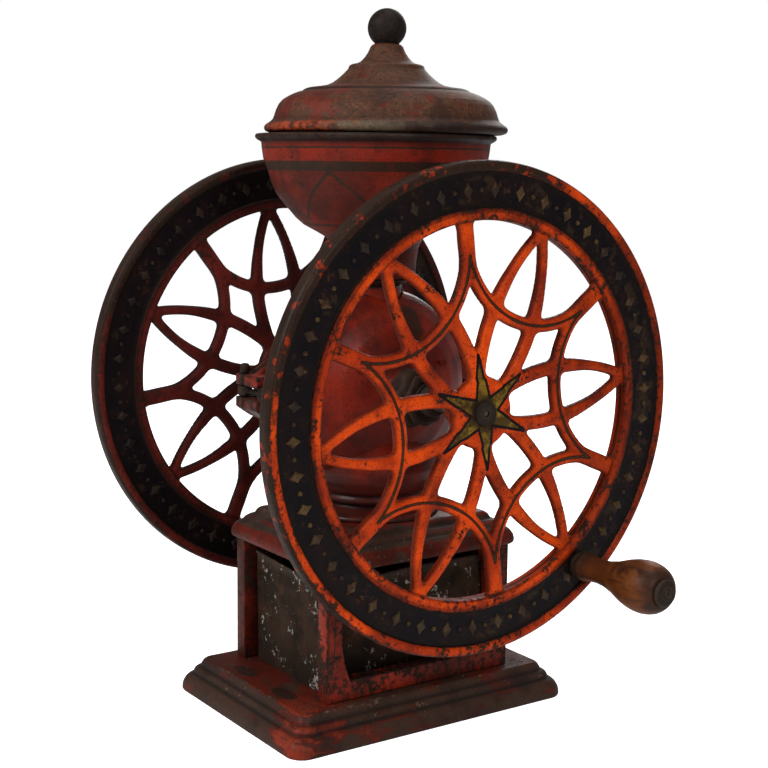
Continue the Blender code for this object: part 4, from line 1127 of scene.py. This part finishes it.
def drum(look):
    solids = [half_drum(-1), temporary(solid_of_turning(SEAT, "Z", steps=90), "seat"),
              temporary(solid_of_turning(PEDESTAL, "Z", steps=90), "pedestal"),
              temporary(solid_of_turning(SHOULDER, "Z", steps=90), "shoulder"),
              *latch_ears(-0.062, -0.0017, -0.030, -0.0017),
              knuckle(-1, 1.497, 1.555), knuckle(-1, 1.345, 1.403)]
    axle_hole = [(-0.5, 0), (-0.5, 0.062), (0.0, 0.062), (0.0, 0)]
    cutters = [drum_room(), upright(1.660, 2.00, 0.0995), upright(0.80, 1.09, 0.105, steps=61),
               temporary(solid_of_turning(axle_hole, centre=(0, 0, AXLE_Z), steps=47), "bearing"),
               upright(1.2, 1.7, 0.0165, (*HINGE_PIN, 0), 23)]
    casting("drum_body_casting", solids, cutters, look, "drum_body")
    grow = 0.003
    pedestal = [(z + (grow if z > 1.05 else 0), r + grow if r else 0) for z, r in PEDESTAL]
    solids = [half_drum(1), *latch_ears(0.0017, 0.122, 0.0017, 0.030), knuckle(1, 1.4045, 1.4955)]
    front_hole = [(0.0, 0), (0.0, 0.0735), (0.5, 0.0735), (0.5, 0)]
    cutters = [drum_room(), upright(1.5, 2.0, 0.1205, steps=71),
               temporary(solid_of_turning(pedestal, "Z", steps=71), "pedestal_room"),
               temporary(solid_of_turning(front_hole, centre=(0, 0, AXLE_Z), steps=47), "bearing"),
               upright(1.2, 1.7, 0.0165, (*HINGE_PIN, 0), 23)]
    casting("drum_cover_casting", solids, cutters, look, "drum_cover")


def drum_look():
    """Bright maroon on the dome, darker round the foot as painted shade, a painted shadow under the
    hopper's neck, dark iron on the latch's ears.
    """
    look = Look("drum_enamel")
    x, y, z = look.axes()
    drift = look.blotches(0.38, 0.62, 16, 4, 0.6, shift=1.0)
    look.colour = look.mix(drift, (0.23, 0.016, 0.005), (0.115, 0.01, 0.005))
    # painted shade: the drum darkens below its middle and round the foot, as if shadowed
    low = look.step(z, 1.15, 0.98)
    look.paint(low, (0.03, 0.008, 0.006), 0.72)
    # painted shadow and grease: near black on the drum's top and seat, under the hopper's overhanging
    # neck
    high = look.step(z, 1.842, 1.856)
    look.paint(high, (0.01, 0.006, 0.005), 0.9)
    ear = look.step(y + look.jitter(0.05, 60, 4), -0.445, -0.47)
    iron = look.mix(look.blotches(0.42, 0.58, 90, 4, shift=3.0), (0.11, 0.015, 0.007),
                    (0.012, 0.007, 0.005))
    look.paint(ear, iron)
    stain = look.oval(y, z, (0.060, 1.700), (0.090, 0.075)) + look.jitter(2.0, 55, 4, shift=5.0)
    stain = look.step(stain, 1.3, 0.5) * look.step(x, 0.1, 0.13)
    look.paint(stain, (0.022, 0.013, 0.007), 0.85)
    patch = look.step(x, 0.016, 0.03) * look.within(z, 1.44, 1.53, 0.012)
    patch = patch * look.blotches(0.36, 0.48, 70, 3, shift=6.0)
    look.paint(patch * ear, (0.3, 0.022, 0.008), 0.85)
    seam = look.step(look.math("ABSOLUTE", x), 0.0040, 0.0015)
    look.paint(seam, (0.006, 0.004, 0.003), 0.9)
    return age(look, chips=0.655, edge=0.14, dirt=0.8, rust=0.28, gloss=0.36, coat=0.04)


def latch_and_hinge():
    iron, brown = LOOKS["dark_iron"], LOOKS["brown_iron"]
    pin_x, pin_y = LATCH_PIN
    pin = [(1.350, 0), (1.350, 0.013), (1.509, 0.013), (1.510, 0.020), (1.536, 0.0205), (1.547, 0.016),
           (1.551, 0.0)]
    turned("latch_pin_turned", pin, brown, "frame", "Z", (pin_x, pin_y, 0), 32, soften=0.002,
           nodes=("latch_pin",))
    pin = [(1.335, 0), (1.335, 0.0158), (1.556, 0.0158), (1.5565, 0.026), (1.566, 0.026), (1.570, 0.018),
           (1.571, 0)]
    turned("hinge_pin_turned", pin, iron, "frame", "Z", (*HINGE_PIN, 0), 32, soften=0.002,
           nodes=("hinge_pin",))
    eye = [(-0.020, 0.0142), (-0.020, 0.027), (-0.016, 0.030), (0.016, 0.030), (0.020, 0.027),
           (0.020, 0.0142)]
    turned("latch_eye", eye, iron, "latch_bolt", "Z", (pin_x, pin_y, LATCH_Z), 40, True, 0.002,
           ("latch_eyebolt",))
    threads = [(0.024, 0), (0.024, 0.0135), (0.110, 0.0135)]
    for k in range(26):
        start = 0.112 + k * 0.0045
        threads += [(start, 0.0128), (start + 0.0022, 0.0145)]
    threads += [(0.233, 0.0115), (0.235, 0)]
    turned("latch_shank", threads, iron, "latch_bolt", "X", (pin_x, pin_y, LATCH_Z), 28, soften=0.0004)
    nut_x = 0.122 + mm(1)
    hex_nut("latch_nut_chamfered", (nut_x, pin_y, LATCH_Z), 0.0, 0.040, 0.0155, 0.070, iron,
            "latch_nut", "latch_nut")


def hex_nut(name, centre, low, high, bore, across, look, body, node):
    """A hexagon nut along X with chamfered corners."""
    corner = across / 2 / math.cos(math.pi / 6)
    chamfer = 0.16 * (high - low)
    steps = 72
    turn = np.arange(steps) * (2 * math.pi / steps)
    flat = across / 2 / np.cos((turn % (math.pi / 3)) - math.pi / 6)
    bevel = np.minimum(flat, corner - 0.75 * chamfer)
    plain = np.full(steps, bore)
    face = np.full(steps, across / 2 * 0.96)
    rows = [(low, plain), (low, face), (low + chamfer, bevel), (low + 1.6 * chamfer, flat),
            (high - 1.6 * chamfer, flat), (high - chamfer, bevel), (high, face), (high, plain)]
    rings = []
    for along, radius in rows:
        rings.append(np.array(centre) + np.stack((np.full(steps, along), radius * np.cos(turn),
                                                  radius * np.sin(turn)), axis=1))
    values = [(0, 0.4), (0.6, 0), (0.8, 0), (0.3, 0), (0.3, 0), (0.8, 0), (0.6, 0), (0, 0.4)]
    add_piece(skin(rings, values, True), name, look, body, (node,), smooth=25)


# ---------------------------------------------------------------- axle and bearings

def axle_parts():
    middle = (0, 0, AXLE_Z)
    iron, brown, steel = LOOKS["dark_iron"], LOOKS["brown_iron"], LOOKS["steel"]
    end = WHEEL_X + 0.042
    shaft = [(-end, 0), (-end, 0.011), (-end + 0.010, 0.012), (-end + 0.012, AXLE_R - 0.002),
             (-end + 0.016, AXLE_R)]
    mirrored = [(-along, radius) for along, radius in reversed(shaft)]
    turned("axle_turned", shaft + mirrored, steel, "rotor", centre=middle, steps=64, soften=0.001,
           nodes=("axle",))
    sleeve = [(0.160, 0.0375), (0.160, 0.072), (0.200, 0.072)]
    for k in range(40):
        start = 0.240 + k * 0.0044
        sleeve += [(start, 0.0700), (start + 0.0022, 0.072)]
    sleeve += [(0.420, 0.070), (0.420, 0.0375)]
    turned("bearing_sleeve_threaded", sleeve, brown, "frame", centre=middle, closed=True,
           soften=0.0004, nodes=("front_bearing_sleeve",))
    bush = [(-0.350, 0.0375), (-0.350, 0.060), (-0.346, 0.062), (-0.190, 0.062), (-0.190, 0.0375)]
    turned("bearing_bush_turned", bush, LOOKS["brass"], "frame", centre=middle, closed=True,
           nodes=("rear_bearing_bush",))
    for name, low, high in (("rear", -0.400, -0.354), ("front", 0.424, 0.470)):
        ring = [(low, 0.0375), (low, 0.062), (low + 0.005, 0.066), (high - 0.005, 0.066), (high, 0.062),
                (high, 0.0375)]
        turned(f"{name}_thrust_ring", ring, iron, "rotor", centre=middle, closed=True, soften=0.002,
               nodes=(f"{name}_thrust_collar",))
        screw = [(0.050, 0), (0.050, 0.012), (0.071, 0.012), (0.072, 0.010), (0.068, 0.004), (0.068, 0)]
        turned(f"{name}_thrust_screw", screw, steel, "rotor", "Z", ((low + high) / 2, 0, AXLE_Z), 24,
               soften=0.001)
    hex_nut("adjuster_lock_nut_chamfered", middle, 0.384, 0.406, 0.0733, 0.200, brown, "frame",
            "adjuster_lock_nut")
    adjuster_piece(brown)


def adjuster_piece(look):
    """The lobed hand nut, its edges rounded and its rim worn."""
    steps = 144
    turn = np.arange(steps) * (2 * math.pi / steps)
    dip = (0.5 - 0.5 * np.cos(6 * turn)) ** 2
    rows = [(0.280, 0.0733, 0), (0.280, 0.100, 0), (0.283, 0.110, 0.004), (0.290, 0.126, 0.012),
            (0.298, 0.1325, 0.017), (0.306, 0.134, 0.018), (0.348, 0.134, 0.018), (0.356, 0.132, 0.017),
            (0.364, 0.125, 0.012), (0.371, 0.110, 0.004), (0.376, 0.100, 0), (0.380, 0.092, 0),
            (0.380, 0.0733, 0)]
    rings = []
    for along, radius, depth in rows:
        reach = radius - depth * dip
        rings.append(np.stack([np.full(steps, along), reach * np.cos(turn),
                               AXLE_Z + reach * np.sin(turn)], axis=1))
    values = [(0, 0.5), (0.1, 0.3), (0.2, 0.2), (0.5, 0), (0.7, 0), (0.4, 0), (0.4, 0), (0.7, 0),
              (0.5, 0), (0.2, 0.2), (0.1, 0.3), (0.3, 0), (0, 0.5)]
    add_piece(skin(rings, values, True), "grind_adjuster_casting", look, "adjuster",
              ("grind_adjuster",))


def crank():
    centre = (0, *CRANK_YZ)
    iron = LOOKS["dark_iron"]
    rod = [(0.700, 0), (0.700, 0.018), (0.704, 0.020), (0.7805, 0.020), (0.7805, 0.050), (0.790, 0.055),
           (0.806, 0.056), (0.8145, 0.050), (0.8145, 0.020), (1.310, 0.020), (1.316, 0.017),
           (1.318, 0.010), (1.3185, 0)]
    turned("crank_rod", rod, iron, "rotor", centre=centre, steps=48, soften=0.002,
           nodes=("crank_spindle",))
    hex_nut("crank_rod_nut", centre, 0.708, 0.7395, 0.0205, 0.080, iron, "rotor", "spindle_nut")
    grip = [(0.8165, 0.0215), (0.8165, 0.055), (0.822, 0.0610), (0.836, 0.0625), (0.845, 0.0605),
            (0.853, 0.0570), (0.885, 0.0535), (0.925, 0.0512), (0.970, 0.0550), (1.030, 0.0690),
            (1.097, 0.0930), (1.135, 0.1030), (1.170, 0.1082), (1.200, 0.1090), (1.230, 0.1045),
            (1.255, 0.0965), (1.275, 0.0840), (1.286, 0.0740), (1.290, 0.0650), (1.290, 0.0215)]
    turned("crank_grip_turned", grip, LOOKS["wood"], "grip", centre=centre, closed=True, soften=0.006,
           nodes=("crank_grip",))
    cap = [(1.2915, 0.0205), (1.2915, 0.056), (1.299, 0.058), (1.306, 0.054), (1.311, 0.042),
           (1.3125, 0.0205)]
    turned("grip_end_washer", cap, iron, "rotor", centre=centre, steps=64, closed=True, soften=0.002,
           nodes=("grip_end_cap",))


# ---------------------------------------------------------------- hopper and lid

def hopper_and_lid():
    outside = [(NECK_BOTTOM, 0.174), (1.896, 0.1785), (1.950, 0.180), (2.020, 0.190),
               (2.045, 0.200), (2.063, 0.213), (2.085, 0.250), (2.117, 0.310), (2.147, 0.345),
               (2.180, 0.373), (2.215, 0.403), (2.253, 0.431), (2.300, 0.451), (2.350, 0.467),
               (2.400, 0.486), (2.440, 0.492), (2.470, 0.495), (2.478, 0.510), (2.486, 0.520),
               (2.495, 0.5215), (2.503, 0.517)]
    inside = [(2.505, 0.505), (2.505, 0.472), (2.470, 0.468), (2.400, 0.460), (2.350, 0.442),
              (2.253, 0.404), (2.185, 0.345), (2.125, 0.283), (2.080, 0.190), (2.030, 0.160),
              (NECK_BOTTOM, 0.150)]
    turned("hopper_casting", outside + inside, hopper_look(), "frame", "Z", steps=160, closed=True,
           nodes=("hopper_bowl",))
    centre = (*LID_CENTRE, 0)
    top = [(2.508, 0.500), (2.515, 0.519), (2.524, 0.5245), (2.533, 0.525), (2.543, 0.518),
           (2.552, 0.504), (2.565, 0.488), (2.580, 0.482), (2.605, 0.474), (2.630, 0.462),
           (2.648, 0.446), (2.662, 0.424), (2.674, 0.400), (2.682, 0.378), (2.686, 0.362),
           (2.693, 0.354), (2.699, 0.340), (2.704, 0.300), (2.712, 0.256), (2.724, 0.230),
           (2.742, 0.206), (2.762, 0.184), (2.782, 0.165), (2.796, 0.160), (2.801, 0.150),
           (2.806, 0.126), (2.815, 0.110), (2.832, 0.094), (2.850, 0.082), (2.866, 0.074),
           (2.877, 0.070), (2.887, 0.058), (2.887, 0.0175)]
    under = [(2.835, 0.0175), (2.835, 0.035), (2.790, 0.050), (2.775, 0.100), (2.750, 0.150),
             (2.690, 0.240), (2.660, 0.350), (2.630, 0.400), (2.470, 0.404), (2.470, 0.416),
             (2.508, 0.416)]
    turned("lid_casting", top + under, lid_look(), "lid", "Z", centre, 160, True, nodes=("lid",))
    neck, ball_z, ball_r = 0.046, 2.955, 0.083
    low = math.asin(neck / ball_r)
    ball = [(2.790, 0), (2.790, 0.0155), (2.8878, 0.0155), (2.8878, 0.054), (2.8900, 0.052)]
    steps = 22
    ball += [(ball_z - ball_r * math.cos(low + (math.pi - low) * i / steps),
              ball_r * math.sin(low + (math.pi - low) * i / steps)) for i in range(1, steps)]
    turned("lid_ball", ball + [(ball_z + ball_r, 0)], LOOKS["ball_iron"], "lid", "Z", centre, 72,
           soften=0.002, nodes=("lid_finial",))
    for name, side in (("front", -1), ("back", 1)):
        head = [(0.150, 0), (0.150, 0.010), (0.1806, 0.010), (0.1806, 0.0165), (0.1920, 0.0165),
                (0.1946, 0.013), (0.1946, 0)]
        turned(f"neck_screw_{name}", [(side * along, radius) for along, radius in head],
               LOOKS["dark_iron"], "frame", "Y", (0, 0, 1.920), 32, soften=0.002,
               nodes=(f"hopper_set_screw_{name}",))


def foot_bolts():
    """Square-headed bolts through the drum's foot."""
    for name, y in (("front", -0.262), ("back", 0.262)):
        bm = bmesh.new()
        shape = Matrix.Translation((0, y, 0.9075)) @ Matrix.Rotation(0.3, 4, "Z")
        bmesh.ops.create_cube(bm, size=1, matrix=shape @ Matrix.Diagonal((0.036, 0.036, 0.019, 1)))
        add_piece(bevelled(bm, 0.003), f"foot_bolt_head_{name}", LOOKS["dark_iron"], "frame",
                  (f"drum_foot_bolt_{name}",))


# ---------------------------------------------------------------- stage

def stage():
    floor_mesh = bpy.data.meshes.new("floor")
    reach = 14.0
    corners = [(x * reach, y * reach, 0) for x, y in ((-1, -1), (1, -1), (1, 1), (-1, 1))]
    floor_mesh.from_pydata(corners, [], [(0, 1, 2, 3)])
    floor_mesh.materials.append(floor_look())
    floor = bpy.data.objects.new("floor", floor_mesh)
    bpy.context.scene.collection.objects.link(floor)
    studio()
    area_light("key", (-0.3, -2.7, 2.2), (0, 0, 0.35), 1.3, 82)
    area_light("side", (2.6, -0.6, 1.7), (0, 0, 0.35), 1.0, 38)
    area_light("top", (0.1, 0.3, 2.8), (0, 0, 0.4), 1.4, 20)
    area_light("back", (-2.0, 2.4, 1.9), (0, 0, 0.35), 1.6, 34)
    bpy.context.scene.view_settings.view_transform = "Standard"


def studio():
    """A white backdrop to the camera that lights the mill only softly."""
    world = bpy.data.worlds.new("studio")
    bpy.context.scene.world = world
    world.use_nodes = True
    tree = world.node_tree
    background = tree.nodes["Background"]
    background.inputs["Color"].default_value = (1.0, 1.0, 1.0, 1.0)
    seen = tree.nodes.new("ShaderNodeLightPath").outputs["Is Camera Ray"]
    strength = tree.nodes.new("ShaderNodeMapRange")
    strength.inputs["To Min"].default_value = 0.26
    strength.inputs["To Max"].default_value = 1.0
    tree.links.new(seen, strength.inputs["Value"])
    tree.links.new(strength.outputs["Result"], background.inputs["Strength"])


def area_light(name, place, target, size, watts):
    data = bpy.data.lights.new(name, "AREA")
    data.shape = "DISK"
    data.size = size
    data.energy = watts
    light = bpy.data.objects.new(name, data)
    light.location = place
    light.rotation_euler = (Vector(target) - Vector(place)).to_track_quat("-Z", "Y").to_euler()
    bpy.context.scene.collection.objects.link(light)


def camera():
    """From the drawer side, round towards the crank, and a little from above."""
    yaw, pitch, roll = math.radians(55.44), math.radians(8.54), math.radians(0.672)
    back = Vector((math.sin(yaw) * math.cos(pitch), -math.cos(yaw) * math.cos(pitch), math.sin(pitch)))
    right = (-back).cross(Vector((0, 0, 1))).normalized()
    up = right.cross(-back)
    side = math.cos(roll) * right + math.sin(roll) * up
    top = -math.sin(roll) * right + math.cos(roll) * up
    data = bpy.data.cameras.new("camera")
    data.sensor_width = 36
    data.lens = 68.47
    made = bpy.data.objects.new("camera", data)
    turn = Matrix((side, top, back)).transposed().to_4x4()
    place = Vector((5.2944, -3.5899, 2.3779)) * WHEEL_RADIUS + Vector((DRUM_X, 0, 0))
    made.matrix_world = Matrix.Translation(place) @ turn
    bpy.context.scene.collection.objects.link(made)
    bpy.context.scene.camera = made


# ---------------------------------------------------------------- all of it

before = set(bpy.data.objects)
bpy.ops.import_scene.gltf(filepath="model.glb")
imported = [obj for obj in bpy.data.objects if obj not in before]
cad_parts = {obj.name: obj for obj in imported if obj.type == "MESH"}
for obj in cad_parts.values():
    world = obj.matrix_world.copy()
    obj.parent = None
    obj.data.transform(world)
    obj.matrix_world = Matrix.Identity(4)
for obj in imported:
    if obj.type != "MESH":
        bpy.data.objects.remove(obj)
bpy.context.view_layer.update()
DRUM_X = sum(corner.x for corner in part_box("base_plate")) / 2  # metres
LOOKS = {
    "dark_iron": worn_iron("dark_iron_worn", (0.011, 0.007, 0.005), (0.004, 0.003, 0.0025), 0.5, 0.0),
    "brown_iron": worn_iron("brown_iron_worn", (0.028, 0.013, 0.008), (0.010, 0.006, 0.005), 0.6, 0.0),
    "ball_iron": worn_iron("ball_iron_worn", (0.011, 0.007, 0.006), (0.005, 0.004, 0.004), 0.50, 0.0),
    "steel": worn_iron("steel_oiled", (0.190, 0.160, 0.135), (0.085, 0.062, 0.050), 0.38, 0.8),
    "brass": worn_iron("brass_dull", (0.300, 0.190, 0.075), (0.120, 0.075, 0.035), 0.42, 0.8),
    "drum": drum_look(),
    "tin": tin_look(),
    "wood": wood_look(),
}
# looks of the CAD pieces that stay, by a word in their names; the rest are dark iron
CARRIED = {"burr_screw": "drum", "burr": "steel", "key": "steel"}
wheels()
base_and_top()
side_frames()
drawer()
drum(LOOKS["drum"])
latch_and_hinge()
axle_parts()
crank()
hopper_and_lid()
foot_bolts()
for node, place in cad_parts.items():
    if not place.hide_render:
        finish = next((look for word, look in CARRIED.items() if word in node), "dark_iron")
        place.data.materials.clear()
        place.data.materials.append(LOOKS[finish])
stage()
camera()
